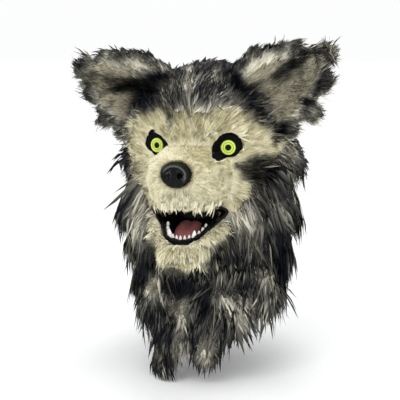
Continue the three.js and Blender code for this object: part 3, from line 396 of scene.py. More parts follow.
# %% Soft forms from the pelts
def soft_form(name, node, voxel, rounds):
    """A copy of a CAD node's surface, merged, remeshed at the voxel size and smoothed."""
    work = bmesh.new()
    work.from_mesh(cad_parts[node].data)
    bmesh.ops.remove_doubles(work, verts=work.verts, dist=1e-5)
    mesh = bpy.data.meshes.new(name)
    work.to_mesh(mesh)
    work.free()
    rough = add_object(name, mesh)
    remesh = rough.modifiers.new("remesh", "REMESH")
    remesh.mode = "VOXEL"
    remesh.voxel_size = voxel
    smooth = rough.modifiers.new("smooth", "SMOOTH")
    smooth.iterations = rounds
    smooth.factor = 0.5
    bpy.context.view_layer.update()
    baked = bpy.data.meshes.new_from_object(rough.evaluated_get(bpy.context.evaluated_depsgraph_get()))
    rough.modifiers.clear()
    rough.data = baked
    bpy.data.meshes.remove(mesh)
    baked.name = name
    baked.materials.clear()
    baked.shade_smooth()
    return rough


PELTS = {
    "face": ("face_fur", 0.0026, 3),
    "hood": ("hood_fur", 0.0060, 5),
    "neck": ("neck_fur", 0.0058, 4),
    "chin": ("chin_fur", 0.0026, 3),
    "ear_left": ("ear_left", 0.0032, 3),
    "ear_right": ("ear_right", 0.0032, 3),
    "lining_left": ("ear_lining_left", 0.0022, 2),
    "lining_right": ("ear_lining_right", 0.0022, 2),
}
wool = {name: soft_form(name + "_wool", *how) for name, how in PELTS.items()}
for piece in wool.values():
    print(piece.name, len(piece.data.polygons), "faces")

# %% [markdown]
# Hair grows only where air is. Every wool face looks out along its normal, and one that sees
# another piece close by, such as the shell behind it, is left bare.


# %% Skins that hair can grow on
LOOK_FROM = 0.0015
LOOK_REACH = 0.003
HEAD_MIDDLE_Z = -0.11
OUTER_PELTS = ("face", "hood", "neck")
LEAST_OUTWARD = -0.1


def whole_tree():
    """One search tree of all the hard pieces and pelts of the frame."""
    points, faces = [], []
    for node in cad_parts.values():
        start = len(points)
        points += [vertex.co.copy() for vertex in node.data.vertices]
        faces += [[start + index for index in face.vertices] for face in node.data.polygons]
    return BVHTree.FromPolygons(points, faces)


solid_tree = whole_tree()


def skin_of(piece, keep=None):
    """The corner places and normals of a piece's triangles that look into free air."""
    mesh = piece.data
    mesh.calc_loop_triangles()
    corners = np.empty(len(mesh.loop_triangles) * 3, dtype=np.int32)
    mesh.loop_triangles.foreach_get("vertices", corners)
    places, normals = places_of(piece)[:, corners].reshape(2, -1, 3, 3)
    middles = places.mean(axis=1)
    ahead = unit(normals.mean(axis=1))
    free = np.array([
        solid_tree.ray_cast(Vector(m + LOOK_FROM * n), Vector(n), LOOK_REACH)[0] is None
        for m, n in zip(middles, ahead)
    ])
    if keep is not None:
        free &= keep(middles, ahead)
    places, normals = places[free], normals[free]
    edges = np.cross(places[:, 1] - places[:, 0], places[:, 2] - places[:, 0])
    return {"places": places, "normals": normals, "area": np.linalg.norm(edges, axis=1) / 2}


def part_of(skin, chosen):
    """The triangles of a skin whose middles the test chooses."""
    inside = chosen(skin["places"].mean(axis=1))
    return {key: values[inside] for key, values in skin.items()}


def outward(places):
    """The way out from the head's axis: level low down, and up from its middle over the crown."""
    middle = np.zeros_like(places)
    middle[:, 2] = np.minimum(places[:, 2], HEAD_MIDDLE_Z)
    return unit(places - middle)


def faces_out(places, normals):
    """True where a face looks away from the head."""
    return np.sum(outward(places) * normals, axis=1) > LEAST_OUTWARD


skins = {name: skin_of(piece, faces_out if name in OUTER_PELTS else None) for name, piece in wool.items()}
for name, skin in skins.items():
    print(name, "free skin", round(float(skin["area"].sum()) * 1e4), "square centimetres")

# %% [markdown]
# The fur is combed away from the nose over the face, back and down round the hood, and down and
# in towards the bib over the neck. On an ear it runs to the tip and out over both rims.

# %% Combing
NOSE_MIDDLE = np.array([0, -0.158, -0.125])
FACE_MIDDLE = np.array([0, -0.124, -0.125])
COMB_TURNS_Z = -0.021
COMB_DOWN_Z = -0.259
EAR_SEAT = np.array([0.076, -0.034, -0.036])
EAR_LENGTH = 0.118
EAR_HALF_WIDTH = 0.045
SIDES = {"left": 1, "right": -1}
EARS = {"left": (1, 35, 2), "right": (-1, 24, 4)}
MOUTH_MIDDLE = np.array([0, -0.115, -0.195])
BIB_MIDDLE = np.array([-0.012, 0, 0])
NECK_DRAW = np.array([4.0, 4.0, 0])
DOWN = np.array([0, 0, -1])


def comb_coat(places):
    """Away from the face, turning straight down towards the hem."""
    below = smoothstep(-places[:, 2], -COMB_TURNS_Z, -COMB_DOWN_Z)[:, None]
    return unit(places - FACE_MIDDLE) * (1 - 0.75 * below) + DOWN * (0.2 + 1.1 * below)


def comb_neck(places):
    """Straight down, drawn in to the bib's middle."""
    return DOWN - (places - BIB_MIDDLE) * NECK_DRAW


def comb_face(places):
    """Away from the nose pad."""
    return unit(places - NOSE_MIDDLE)


def comb_chin(places):
    """Away from the mouth and down."""
    return unit(places - MOUTH_MIDDLE) + np.array([0, 0.2, -0.6])


def comb_lip(places):
    """Down and a little forward, over the mouth."""
    return np.zeros_like(places) + [0, -0.15, -1]


def ear_axes(side, rise, turn):
    """An ear's seat, its axis to the tip and its width towards the lower rim, from its side, its
    rise and its turn to the front in degrees."""
    rise, turn = math.radians(rise), math.radians(turn)
    level = math.cos(rise)
    axis = np.array([side * level * math.cos(turn), -level * math.sin(turn), math.sin(rise)])
    across = np.array([side * 0.55, -0.05, -0.85])
    across = unit(across - across.dot(axis) * axis)
    return EAR_SEAT * [side, 1, 1], axis, across


def comb_ear(side, rise, turn):
    """Along the ear, fanned out towards both rims and drawn together at the tip."""
    seat, axis, across = ear_axes(side, rise, turn)

    def comb(places):
        aside = np.clip((places - seat) @ across / EAR_HALF_WIDTH, -1.2, 1.2)
        fan = 0.7 - 1.3 * smoothstep((places - seat) @ axis / EAR_LENGTH, 0.6, 0.95)
        return axis + (aside * fan)[:, None] * across - np.array([0, 0, 0.15])

    return comb


# %% [markdown]
# The coat's colours are charted by region: each patch is an oval on the photograph, with
# its middle and half sizes in the photograph's pixels, its lean in degrees and its tone, from 0 for
# black to 1 for cream. Later ovals lie over earlier ones. Hair that the photograph doesn't show
# gets a plain pattern of the same kinds of streaks.

# %% Chart of the coat
FRAME_PIXELS = 400
COAT_CHART = {
    # The left ear's band (140, 83) is painted shadow under the roll, over partly black fur; the lining takes
    # it too.
    "left ear: fringe, roll, tip, painted shadow band, lining": [
        (95, 85, 22, 30, -20, 0.45), (122, 67, 38, 8, 4, 0.76), (80, 60, 9, 8, 40, 0.2),
        (140, 83, 34, 6, -17, 0.0), (116, 105, 13, 13, 0, 0.56),
    ],
    "right ear: lining, roll, streak, far edge, spot, rim, low tip": [
        (281, 106, 20, 22, 0, 0.76), (258, 69, 30, 9, -28, 0.95), (298, 60, 30, 5, -32, 0.14),
        (308, 80, 8, 20, 15, 0.62), (306, 102, 8, 4, 10, 0.1), (317, 90, 4, 7, 0, 0.15),
        (276, 128, 7, 10, 0, 0.7),
    ],
    "forehead: whole, low, centre streak, left, right, line to the eye": [
        (195, 100, 40, 14, 0, 0.42), (192, 113, 24, 7, 0, 0.66), (188, 84, 5, 26, 8, 0.72),
        (160, 97, 13, 16, 0, 0.38), (203, 94, 8, 20, -20, 0.3), (170, 118, 5, 12, 12, 0.34),
    ],
    "brows: left, right": [
        (151, 118, 12, 10, 0, 1.0), (238, 119, 22, 13, 8, 1.1),
    ],
    "beside the ears: left hollow, right hollow, under the right ear, temples": [
        (144, 97, 13, 20, 20, 0.02), (250, 100, 9, 40, -38, -0.1), (282, 132, 6, 14, 25, 0.08),
        (137, 128, 10, 12, 0, 0.9), (258, 138, 14, 9, 0, 0.9),
    ],
    "right cheek: black, its reach, streak, tuft, side": [
        (261, 172, 20, 18, 0, 0.0), (243, 167, 12, 4, 8, 0.25), (270, 190, 6, 16, 25, 0.5),
        (287, 160, 11, 16, 20, 0.6), (287, 205, 9, 30, 0, 0.34),
    ],
    "right jaw: tuft, behind it, under it": [
        (243, 224, 19, 14, -10, 0.86), (270, 218, 10, 22, 10, 0.3), (256, 250, 30, 10, 0, 0.08),
    ],
    "left cheek: edge, middle, dark lock, jaw": [
        (121, 165, 8, 26, 0, 0.25), (135, 172, 8, 14, 0, 0.5), (140, 193, 9, 5, -10, 0.2),
        (139, 218, 12, 22, 0, 0.9),
    ],
    "left side: dark, cream band, neck": [
        (117, 215, 8, 32, 0, 0.2), (128, 250, 6, 18, 10, 0.7), (146, 262, 8, 26, 15, 0.06),
    ],
    "throat: black, brown, under the chin": [
        (178, 284, 28, 13, 25, -0.35), (226, 268, 30, 10, 0, 0.35), (226, 247, 22, 7, -18, 0.08),
    ],
    "breast and bib: black, strip, cream, dark lock, dark edge": [
        (209, 312, 8, 26, 0, 0.04), (154, 288, 7, 24, 22, 0.68), (184, 318, 8, 24, 6, 0.52),
        (167, 331, 10, 15, 0, 0.12), (149, 318, 6, 18, 10, 0.12),
    ],
    "bib ends: left and its edge, right, parting, right edge": [
        (180, 356, 8, 22, -12, 0.7), (163, 362, 7, 18, -8, 0.3), (205, 347, 10, 20, 0, 0.66),
        (192, 346, 2.5, 24, 0, 0.08), (220, 358, 7, 12, 0, 0.1),
    ],
    "right breast: whole, dark top, cream band, black edge, hem": [
        (246, 318, 22, 22, 0, 0.62), (243, 292, 18, 6, 0, 0.15), (267, 274, 8, 26, -10, 0.46),
        (284, 255, 7, 36, 0, 0.06), (236, 344, 14, 5, 20, 0.25),
    ],
    "mouth corner, inside": [
        (219, 213, 5, 3, 0, -0.6),
    ],
}
FACE_CHART = {
    # Painted shade: a thin dark line along the crease by the eye, and a darker patch in the crease between
    # the brows.
    "painted shade of the creases by the eye and between the brows": [(203, 139, 8, 0.9, 31, 0.3), (192, 128, 13, 7, 0, 0.8)],
    "under the nose, muzzle": [(176, 196, 2, 9, 0, 0.84), (182, 198, 30, 12, 0, 0.77)],
    "mouth corner, inside": [(219, 213, 7, 3.2, 0, -0.6)],
}


def photo_place(places):
    """Where the camera sees each place, in pixels of the square frame from its top left."""
    away = places - view_place
    depth = -(away @ view_back)
    scale = FRAME_PIXELS * VIEW_DISTANCE / VIEW_WIDTH
    across = FRAME_PIXELS / 2 + scale * (away @ view_right) / depth
    down = FRAME_PIXELS / 2 - scale * (away @ view_up) / depth
    return across, down


def charted(places, chart, tone):
    """The tone laid over by each oval of a chart in turn, with soft edges."""
    across, down = photo_place(places)
    for x, y, half_x, half_y, lean, patch in sum(chart.values(), []):
        c, s = math.cos(math.radians(lean)), math.sin(math.radians(lean))
        u = ((across - x) * c + (down - y) * s) / half_x
        v = ((down - y) * c - (across - x) * s) / half_y
        cover = 1 - smoothstep(np.hypot(u, v), 0.4, 1.5)
        tone = tone + cover * (patch - tone)
    return tone


LATTICE_HASH = np.array([73856093, 19349663, 83492791])
SEED_HASH = 6271
MIXING_HASH = 1274126177


def soft_noise(places, seed):
    """Random numbers on a unit lattice, blended smoothly between the eight corners of a cell."""
    base = np.floor(places).astype(np.int64)
    share = places - base
    share = share * share * (3 - 2 * share)
    total = np.zeros(len(places))
    for corner in np.ndindex(2, 2, 2):
        mixed = (base + corner) @ LATTICE_HASH + seed * SEED_HASH
        mixed = (mixed ^ (mixed >> 13)) * MIXING_HASH
        value = ((mixed >> 8) & 0xFFFF) / 0xFFFF
        total += value * np.prod(np.where(corner, share, 1 - share), axis=1)
    return total


def streaks(places, seed, width=0.009, length=0.034):
    """Noise from -1 to 1 that is stretched along the way the hair falls."""
    return 2 * soft_noise(places / [width, width, length], seed) - 1


def coat_tone(places, normals):
    """The chart where the camera sees the coat, and streaks with a dark back line elsewhere."""
    seen = smoothstep(unit(normals) @ view_back, -0.35, 0.1)
    back = 0.44 + 0.45 * streaks(places, 5, 0.03, 0.07)
    spine = bell(places[:, 0], 0, 0.026) * smoothstep(places[:, 1], 0.0, 0.05)
    back = back * (1 - 0.8 * spine)
    front = charted(places, COAT_CHART, np.full(len(places), 0.42))
    return back + seen * (front - back) + 0.2 * streaks(places, 9)


def face_tone(places, normals):
    """Cream, darker only where the long coat's streaks reach in, and with painted shade along a few creases.
    """
    tone = charted(places, COAT_CHART, np.full(len(places), 1.0))
    return np.clip(charted(places, FACE_CHART, tone + 0.12), 0, 1.1)


def lining_tone(places, normals):
    """The ears' lining is plain beige, and dark only where the chart is dark."""
    return 1.35 * coat_tone(places, normals)


# %% [markdown]
# A hair is a narrow ribbon that ends in a point, and it has one corner at each step of its curve,
# on its left and right in turn, so that two triangles fewer draw the same bend. The curve leaves
# the skin, bends over along the comb and droops. Hairs join in locks, because each one is drawn
# towards the curve of the nearest lock's middle. The chart paints each corner where it lies, and
# a hair of a middle tone is cream at its root and black at its tip, as tipped faux fur is.


# %% Growing a coat
BOX_ROOM = 0.015
BLOCK = 4000
box_low = np.array(frame_box[0]) - BOX_ROOM
box_high = np.array(frame_box[1]) + BOX_ROOM


def scatter(skin, count, rng):
    """Roots spread evenly over a skin, with the normal at each."""
    share = np.cumsum(skin["area"])
    chosen = np.searchsorted(share, rng.random(count) * share[-1])
    u, v = rng.random((2, count))
    u, v = np.where(u + v > 1, [1 - u, 1 - v], [u, v])
    weights = np.stack([1 - u - v, u, v], axis=1)[:, :, None]
    roots = (skin["places"][chosen] * weights).sum(axis=1)
    return roots, unit((skin["normals"][chosen] * weights).sum(axis=1))


def nearest_of(places, middles):
    """The index of the nearest middle to each place, worked out in blocks."""
    half_square = (middles ** 2).sum(axis=1) / 2
    blocks = [
        np.argmin(half_square - places[start:start + BLOCK] @ middles.T, axis=1)
        for start in range(0, len(places), BLOCK)
    ]
    return np.concatenate(blocks)


def hair_curves(roots, normals, flow, length, steps, lift, droop, wave, phase):
    """Points along each hair: root + L (comb t + normal lift t (1 - t/2) - up droop t^2), with a
    sideways wave of sin(phase + 5t) that grows to the tip."""
    ahead = unit(flow - np.sum(flow * normals, axis=1, keepdims=True) * normals)
    side = np.cross(normals, ahead)
    t = steps[None, :, None]
    length = length[:, None, None]
    path = ahead[:, None] * t + normals[:, None] * (lift[:, None, None] * t * (1 - t / 2))
    path = path + DOWN * droop * t ** 2
    path = path + side[:, None] * (wave * t * np.sin(phase[:, None, None] + 5 * t))
    return roots[:, None] + length * path


def kept_in_box(curves):
    """Hairs that would leave the box are shortened about their roots."""
    roots = curves[:, :1]
    reach = curves - roots
    room = np.where(reach > 0, box_high - roots, roots - box_low)
    share = np.clip((np.maximum(room, 0) / np.maximum(np.abs(reach), 1e-9)).min(axis=(1, 2)), 0.1, 1)
    return roots + reach * share[:, None, None]


def grow_coat(name, skin, look, count, comb, length_of, tone_of, seed, width=0.0010, sections=4,
              lift=0.35, droop=0.08, wave=0.08, lock=0.010, gather=0.6, mixed=0.09, strand=0.005, guard=0.1,
              calm=0.0, tousle=1.0, tipped=0.8, spare=None):
    """One mesh of hairs over a skin, with the attributes dark and shade for its look. Width,
    lock and strand are sizes in metres, gather draws a hair to its lock, guard is the share of
    longer hairs, calm turns the roots outwards, and tipped blackens the tips."""
    rng = np.random.default_rng(seed)
    roots, normals = scatter(skin, count, rng)
    normals = unit(normals + calm * outward(roots))
    lock_count = max(8, int(skin["area"].sum() / lock ** 2))
    lock_roots, lock_normals = scatter(skin, lock_count, rng)
    lock_normals = unit(lock_normals + calm * outward(lock_roots))
    steps = np.linspace(0, 1, sections)
    lock_phase = rng.random(lock_count) * 2 * math.pi
    lock_size = 0.8 + 0.45 * rng.random(lock_count)
    own = nearest_of(roots, lock_roots)
    strand_roots, _ = scatter(skin, max(8, int(skin["area"].sum() / strand ** 2)), rng)
    strand_mood = mixed * rng.standard_normal(len(strand_roots))[nearest_of(roots, strand_roots)]
    is_guard = rng.random(count) < guard
    hair_lift = lift * (0.6 + 0.8 * rng.random(count))
    length = length_of(roots) * lock_size[own] * (0.7 + 0.45 * rng.random(count)) * (1 + 0.35 * is_guard)
    turn = 0.2 * tousle * rng.standard_normal((count, 3))
    curves = hair_curves(roots, normals, comb(roots) + turn, length, steps, hair_lift, droop, wave,
                         lock_phase[own] + 0.5 * rng.standard_normal(count))
    lock_length = length_of(lock_roots) * lock_size
    lock_turn = 0.16 * tousle * rng.standard_normal((lock_count, 3))
    lock_curves = hair_curves(lock_roots, lock_normals, comb(lock_roots) + lock_turn, lock_length, steps,
                              np.full(lock_count, lift), droop, wave, lock_phase)
    drawn = (0.5 + 0.7 * rng.random(count)) * (1 - 0.6 * is_guard)
    pull = (gather * steps ** 1.3)[None, :, None] * drawn[:, None, None]
    curves = curves + np.clip(pull, 0, 0.92) * (lock_curves[own] - curves)
    curves = kept_in_box(curves)
    kept = np.ones(count, dtype=bool) if spare is None else ~spare(curves)
    curves, normals, mood = curves[kept], normals[kept], strand_mood[kept] - 0.12 * is_guard[kept]
    count = len(curves)

    along = unit(np.gradient(curves, axis=1))
    side = unit(np.cross(along, normals[:, None]))
    tilt = rng.normal(0, 0.55, count)[:, None, None]
    side = side * np.cos(tilt) + np.cross(along, side) * np.sin(tilt)
    sign = np.array([(-1) ** k for k in range(sections - 1)])
    taper = (1 - 0.55 * steps[:-1] ** 2) * sign
    offset = side[:, :-1] * taper[None, :, None] * width * (0.7 + 0.6 * rng.random((count, 1, 1)))
    points = np.concatenate([
        curves[:, :1] + offset[:, :1] / 2,
        curves[:, :-1] - offset / 2,
        curves[:, -1:],
    ], axis=1)
    corners = sections + 1
    first = np.arange(corners - 2)
    odd = first % 2
    pattern = np.stack([first, first + 2 - odd, first + 1 + odd], axis=1)
    faces = (pattern[None] + corners * np.arange(count)[:, None, None]).reshape(-1, 3)
    piece = make_mesh(name, points.reshape(-1, 3), faces)

    at = np.concatenate([steps[:1], steps])
    flat_normals = np.repeat(normals, corners, axis=0)
    tone = np.clip(tone_of(points.reshape(-1, 3), flat_normals).reshape(count, corners), 0, 1.1)
    own_tone = tone.mean(axis=1, keepdims=True)
    tone = 0.75 * tone + 0.25 * own_tone
    tip = (at[None] - 0.5) * (1 - np.abs(2 * np.clip(own_tone, 0, 1) - 1)) * tipped
    noise = (mixed * rng.standard_normal(count) - mood)[:, None] * (1 - 0.75 * smoothstep(own_tone, 0.7, 1.0))
    dark = smoothstep(0.5 - tone + tip + noise, -0.40, 0.40)
    attribute(piece, "dark", dark)
    attribute(piece, "shade", np.repeat(rng.random(count), corners))
    dress(piece, *look)
    print(name, count, "hairs", len(faces), "triangles")


# %% [markdown]
# All the hair shares one finish. Its colour goes from cream to blue-black by the attribute dark,
# and each hair is a little lighter or browner than its neighbours. Low gloss keeps black locks
# black in a white room.


# %% Fur materials
def fur_material(name, light, brown, dark):
    """Hair between two light colours by its own shade, going to the dark one by the attribute dark."""
    material, tree, shader = new_material(name, Roughness=0.6, Specular_IOR_Level=0.06)
    pale = color_steps(tree, "shade", (0.1, brown), (0.6, light))
    depth = color_steps(tree, "dark", (0, (0, 0, 0)), (0.5, (0.74, 0.74, 0.74)), (1, (1, 1, 1)))
    mix = add_node(tree, "ShaderNodeMix", data_type="RGBA")
    tree.links.new(depth, mix.inputs["Factor"])
    tree.links.new(pale, mix.inputs["A"])
    mix.inputs["B"].default_value = (*dark, 1)
    tree.links.new(mix.outputs["Result"], shader.inputs["Base Color"])
    return material


face_hair = fur_material("face_hair", (0.91, 0.87, 0.66), (0.78, 0.72, 0.50), (0.012, 0.012, 0.012))
coat_hair = fur_material("coat_hair", (0.82, 0.79, 0.65), (0.60, 0.56, 0.45), (0.004, 0.005, 0.008))
lining_hair = fur_material("lining_hair", (0.48, 0.45, 0.34), (0.36, 0.32, 0.23), (0.006, 0.007, 0.007))
FACE_LOOK = (face_hair, "face_fur")
COAT_LOOK = (coat_hair, "hood_fur")
LINING_LOOK = (lining_hair, "lining")
print("fur materials", face_hair.name, coat_hair.name, lining_hair.name)

# %% [markdown]
# The face has short, dense pile: shortest round the nose, and longest at its edge, where it hides
# the seam to the hood. Hair that would cover an eye is left out, and a ragged fringe hangs over
# the mouth.

# %% Face fur
EYE_TURN = math.radians(15)
EYE_HALF = (0.021, 0.0185)
EYE_MARGIN = 0.97
LIP_TOP_Z = -0.156
LIP_HALF_WIDTH = 0.066
LIP_BACK_Y = -0.085
eye_frames = {}
for name, side in SIDES.items():
    turn = side * EYE_TURN
    across = np.array([math.cos(turn), math.sin(turn), 0])
    ahead = np.array([math.sin(turn), -math.cos(turn), 0])
    eye_frames[name] = (np.mean(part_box("iris_" + name), axis=0), across, ahead, side)

EYE_OUTLINE = {
    "left": [
        (0, 0.84), (27, 0.93), (55, 1.10), (78, 1.16), (107, 1.12), (141, 1.02), (165, 1.05),
        (192, 1.10), (216, 1.22), (228, 1.13), (265, 0.75), (314, 0.82), (360, 0.84),
    ],
    "right": [
        (0, 0.72), (33, 0.88), (53, 1.20), (66, 1.30), (80, 1.24), (94, 1.08), (117, 0.96),
        (151, 1.0), (173, 1.08), (195, 0.92), (225, 0.84), (256, 0.95), (309, 0.70), (360, 0.70),
    ],
}


def eye_reach(name, turn):
    """How far an eye's opening reaches at a turn in degrees from its outer side, over its half size."""
    return np.interp(turn, *zip(*EYE_OUTLINE[name]))


def over_eye(curves):
    """True for a hair of which any point hangs before an eye's opening."""
    hidden = np.zeros(curves.shape[:2], dtype=bool)
    for name, (middle, across, _, side) in eye_frames.items():
        u = side * ((curves - middle) @ across) / EYE_HALF[0]
        v = (curves - middle)[..., 2] / EYE_HALF[1]
        turn = np.degrees(np.arctan2(v, u)) % 360
        hidden |= (np.hypot(u, v) < EYE_MARGIN * eye_reach(name, turn)) & (curves[..., 1] < 0)
    return hidden.any(axis=1)


hood_middles = skins["hood"]["places"].mean(axis=1)[::6]


def edge_distance(places):
    """How far each place of the face is from the hood's skin."""
    return np.linalg.norm(places - hood_middles[nearest_of(places, hood_middles)], axis=1)


def face_length(roots):
    """6 mm by the nose, 14 mm further out, and 26 mm along the hood."""
    away = np.linalg.norm(roots - NOSE_MIDDLE, axis=1)
    middle = 0.0055 + 0.07 * away
    lip = 1 - 0.3 * smoothstep(-roots[:, 2], 0.150, 0.165)
    return (middle + 0.011 * (1 - smoothstep(edge_distance(roots), 0.006, 0.030))) * lip


def fringe_length(roots):
    """12 mm in the middle of the lip, and 18 mm by the corners."""
    return 0.012 + 0.006 * smoothstep(np.abs(roots[:, 0]), 0.016, 0.034)


def lip_part(middles):
    """The lower edge of the face, over the mouth."""
    x, y, z = middles.T
    return (z < LIP_TOP_Z) & (np.abs(x) < LIP_HALF_WIDTH) & (y < LIP_BACK_Y)


grow_coat("face_coat", skins["face"], FACE_LOOK, 88000, comb_face, face_length, face_tone, 11,
          width=0.0009, sections=3, lift=0.5, droop=0.04, wave=0.04, lock=0.004, gather=0.14,
          strand=0.003, guard=0.05, tousle=0.7, tipped=0.3, spare=over_eye)
grow_coat("lip_fringe", part_of(skins["face"], lip_part), FACE_LOOK, 5000, comb_lip, fringe_length,
          face_tone, 12, width=0.0008, lift=0.25, droop=0.05, wave=0.1, lock=0.005, gather=0.7, mixed=0.05)

# %% [markdown]
# The hood is long and shaggy. It is split into a left and a right mesh, which keeps each one light
# enough to handle. The neck's fur is longest, and hangs in waves to the bib.


# %% Hood and neck fur
def coat_length(roots):
    """30 mm over the brow, up to 44 mm low down."""
    return 0.030 + 0.014 * smoothstep(-roots[:, 2], 0.03, 0.16)


NECK_TOP_Z = -0.2354
NECK_FALL = 0.100
BIB_DROP = 0.084
LOBES = [(-26, 20, 1.06), (16, 17, 0.82)]


def hem_height(places):
    """The height of the neck's hem at each place: level, with the bib's two lobes in front."""
    turn = np.degrees(np.arctan2(places[:, 0], -places[:, 1]))
    lobes = sum(share * bell(turn, middle, width) for middle, width, share in LOBES)
    return NECK_TOP_Z - NECK_FALL - BIB_DROP * lobes


def neck_length(roots):
    """Up to 50 mm, and short enough by the hem to hang only a little below it."""
    return np.clip(roots[:, 2] - hem_height(roots) + 0.010, 0.014, 0.050)


for name, side in SIDES.items():
    half_skin = part_of(skins["hood"], lambda middles: middles[:, 0] * side > 0)
    grow_coat("hood_coat_" + name, half_skin, COAT_LOOK, 46000, comb_coat, coat_length, coat_tone,
              21 + side, width=0.0011, lift=0.2, wave=0.11, lock=0.015, gather=0.5, calm=0.8, tipped=0.5,
              spare=over_eye)
grow_coat("neck_coat", skins["neck"], COAT_LOOK, 42000, comb_neck, neck_length, coat_tone, 31,
          width=0.0011, sections=5, lift=0.06, wave=0.12, lock=0.017, gather=0.45, calm=1.0, tipped=0.3)
grow_coat("chin_coat", skins["chin"], FACE_LOOK, 15000, comb_chin, lambda roots: np.full(len(roots), 0.019),
          face_tone, 41, lift=0.3, lock=0.011, gather=0.4, mixed=0.08)

# %% [markdown]
# An ear has two coats: the hood's fur outside, longest at the tip, and a short beige pile inside.
# Both follow the ear's own comb, so that they meet in one fringe.

# %% Ear fur
for name, how in EARS.items():
    comb = comb_ear(*how)
    seat, axis, _ = ear_axes(*how)
    grow_coat(f"ear_{name}_coat", skins["ear_" + name], COAT_LOOK, 16000, comb,
              lambda roots: 0.016 + 0.014 * smoothstep((roots - seat) @ axis, 0.08, EAR_LENGTH),
              coat_tone, 51, width=0.0009, lift=0.2, mixed=0.05, tipped=0.5)
    grow_coat(f"lining_{name}_coat", skins["lining_" + name], LINING_LOOK, 8000, comb,
              lambda roots: np.full(len(roots), 0.011), lining_tone,
              52, width=0.0009, sections=3, lift=0.3, lock=0.009, gather=0.3, mixed=0.03, tipped=0.2)

# %% [markdown]
# The wool under the hair is dyed with it, so it takes its colour from the same chart, a little
# darker than the hair because it lies in its shade.

# %% Wool under the hair
felted_wool, tree, shader = new_material("felted_wool", Roughness=0.95, Specular_IOR_Level=0.05)
felt_color = color_steps(
    tree, "dark", (0, (0.50, 0.45, 0.30)), (0.5, (0.16, 0.145, 0.11)), (1, (0.008, 0.008, 0.009)))
grained(tree, shader, felt_color, 380, 0.8, 0.0015, bump=0.7)

for name, (node, _, _) in PELTS.items():
    is_face = name in ("face", "chin")
    places, normals = places_of(wool[name])
    tone = (face_tone if is_face else coat_tone)(places, normals)
    attribute(wool[name], "dark", np.clip((1.05 if is_face else 1.2) - tone, 0, 1))
    slot = "face_fur" if is_face else "lining" if "lining" in name else "hood_fur"
    dress(wool[name], felted_wool, slot, node)
print("dyed", len(PELTS), "pelts of wool")

# %% [markdown]
# The nose pad is glossy moulded plastic: a ball that is flatter in front and wider at the top,
# with a raised arc along its upper edge, two comma nostrils and a groove down from its middle.
# Its crests carry a painted highlight, a paler grey that an attribute worked out from the same
# place draws.

# %% Nose
NOSE_CENTER = np.array([-0.0018, -0.160, -0.1266])
NOSE_HALF = np.array([0.0222, 0.0158, 0.0184])
NOSTRIL_MIDDLE = (0.46, -0.04)
NOSTRIL_HALF = (0.19, 0.23)
NOSE_ROWS = 60
NOSE_COLUMNS = 72


def comma_reach(x, z):
    """How far a direction is from the heart of the comma-shaped nostril on its side, over its size."""
    across = np.abs(x) - NOSTRIL_MIDDLE[0]
    rise = z - NOSTRIL_MIDDLE[1] + 0.5 * across
    return np.hypot(across / NOSTRIL_HALF[0], rise / NOSTRIL_HALF[1])


def nose_grid():
    """Direction (sin v cos u, -cos v, sin v sin u) times the half sizes, plus a height along the
    direction that is a function of its x and z: arc, nostrils and groove."""
    v = np.linspace(0, math.pi, NOSE_ROWS)[:, None]
    u = circle(NOSE_COLUMNS)[None]
    x = np.sin(v) * np.cos(u)
    z = np.sin(v) * np.sin(u)
    y = -np.cos(v) * np.ones_like(u)
    ahead = np.stack([x, y, z], axis=-1)
    front = smoothstep(-y, 0.0, 0.3)
    arc = bell(np.hypot(x, z), 0.80, 0.06) * smoothstep(z, -0.35, 0.2)
    shelf = 1 - smoothstep(np.hypot(x, z), 0.66, 0.80)
    comma = comma_reach(x, z)
    nostril = bell(comma, 0, 1) - 0.2 * bell(comma, 1.5, 0.35)
    slit = bell(np.abs(x), 0.66, 0.13) * bell(z, 0.02, 0.08)
    groove = bell(x, 0, 0.05) * smoothstep(-z, -0.1, 0.35)
    height = 0.0017 * arc - 0.0014 * shelf - 0.0055 * nostril - 0.0022 * slit - 0.0014 * groove
    flat = 1 - 0.10 * smoothstep(-y, 0.55, 1.0)
    grid = ahead * NOSE_HALF * np.stack([1 + 0.06 * z, flat, np.ones_like(x)], axis=-1)
    return NOSE_CENTER + grid + ahead * (height * front)[..., None]


# Painted highlight: the nose's colour goes to a paler grey along the crest of the arc and the left nostril's
# lip.
nose_painted_highlight, tree, shader = new_material(
    "nose_painted_highlight", Roughness=0.3, Specular_IOR_Level=0.03, Coat_Weight=0.22, Coat_Roughness=0.05)
painted_highlight_color = color_steps(tree, "painted_highlight", (0, (0.001, 0.0016, 0.0013)), (1, (0.15, 0.16, 0.15)))
grained(tree, shader, painted_highlight_color, 420, 0.8, 0.0002)

nose = add_solid("nose_pad", [nose_grid()], nose_painted_highlight, "gloss", "nose")
places, _ = places_of(nose)
x, y, z = (unit((places - NOSE_CENTER) / NOSE_HALF)).T
in_front = smoothstep(-y, 0.2, 0.5)
# Painted highlight: a thin band along the arc's crest, and one on the lip of the left nostril only.
crest = bell(np.hypot(x, z), 0.74, 0.022) * smoothstep(z + 0.5 * x, -0.3, 0.3) * in_front
lip = bell(comma_reach(x, z), 1.35, 0.14) * smoothstep(z - np.abs(x), -0.75, -0.2) * in_front
attribute(nose, "painted_highlight", np.clip(0.75 * crest + 0.5 * lip * (x < 0), 0, 1))

# %% [markdown]
# Each eye is a stepped ring round a black pupil, turned on a lathe: a profile of radius and
# height is carried round the line that the eye looks along. The ring's colour follows its radius:
# bright crests, and darker green in the groove, by the pupil and at the rim, which is painted
# light and shade that follows the ring's relief over its own green.

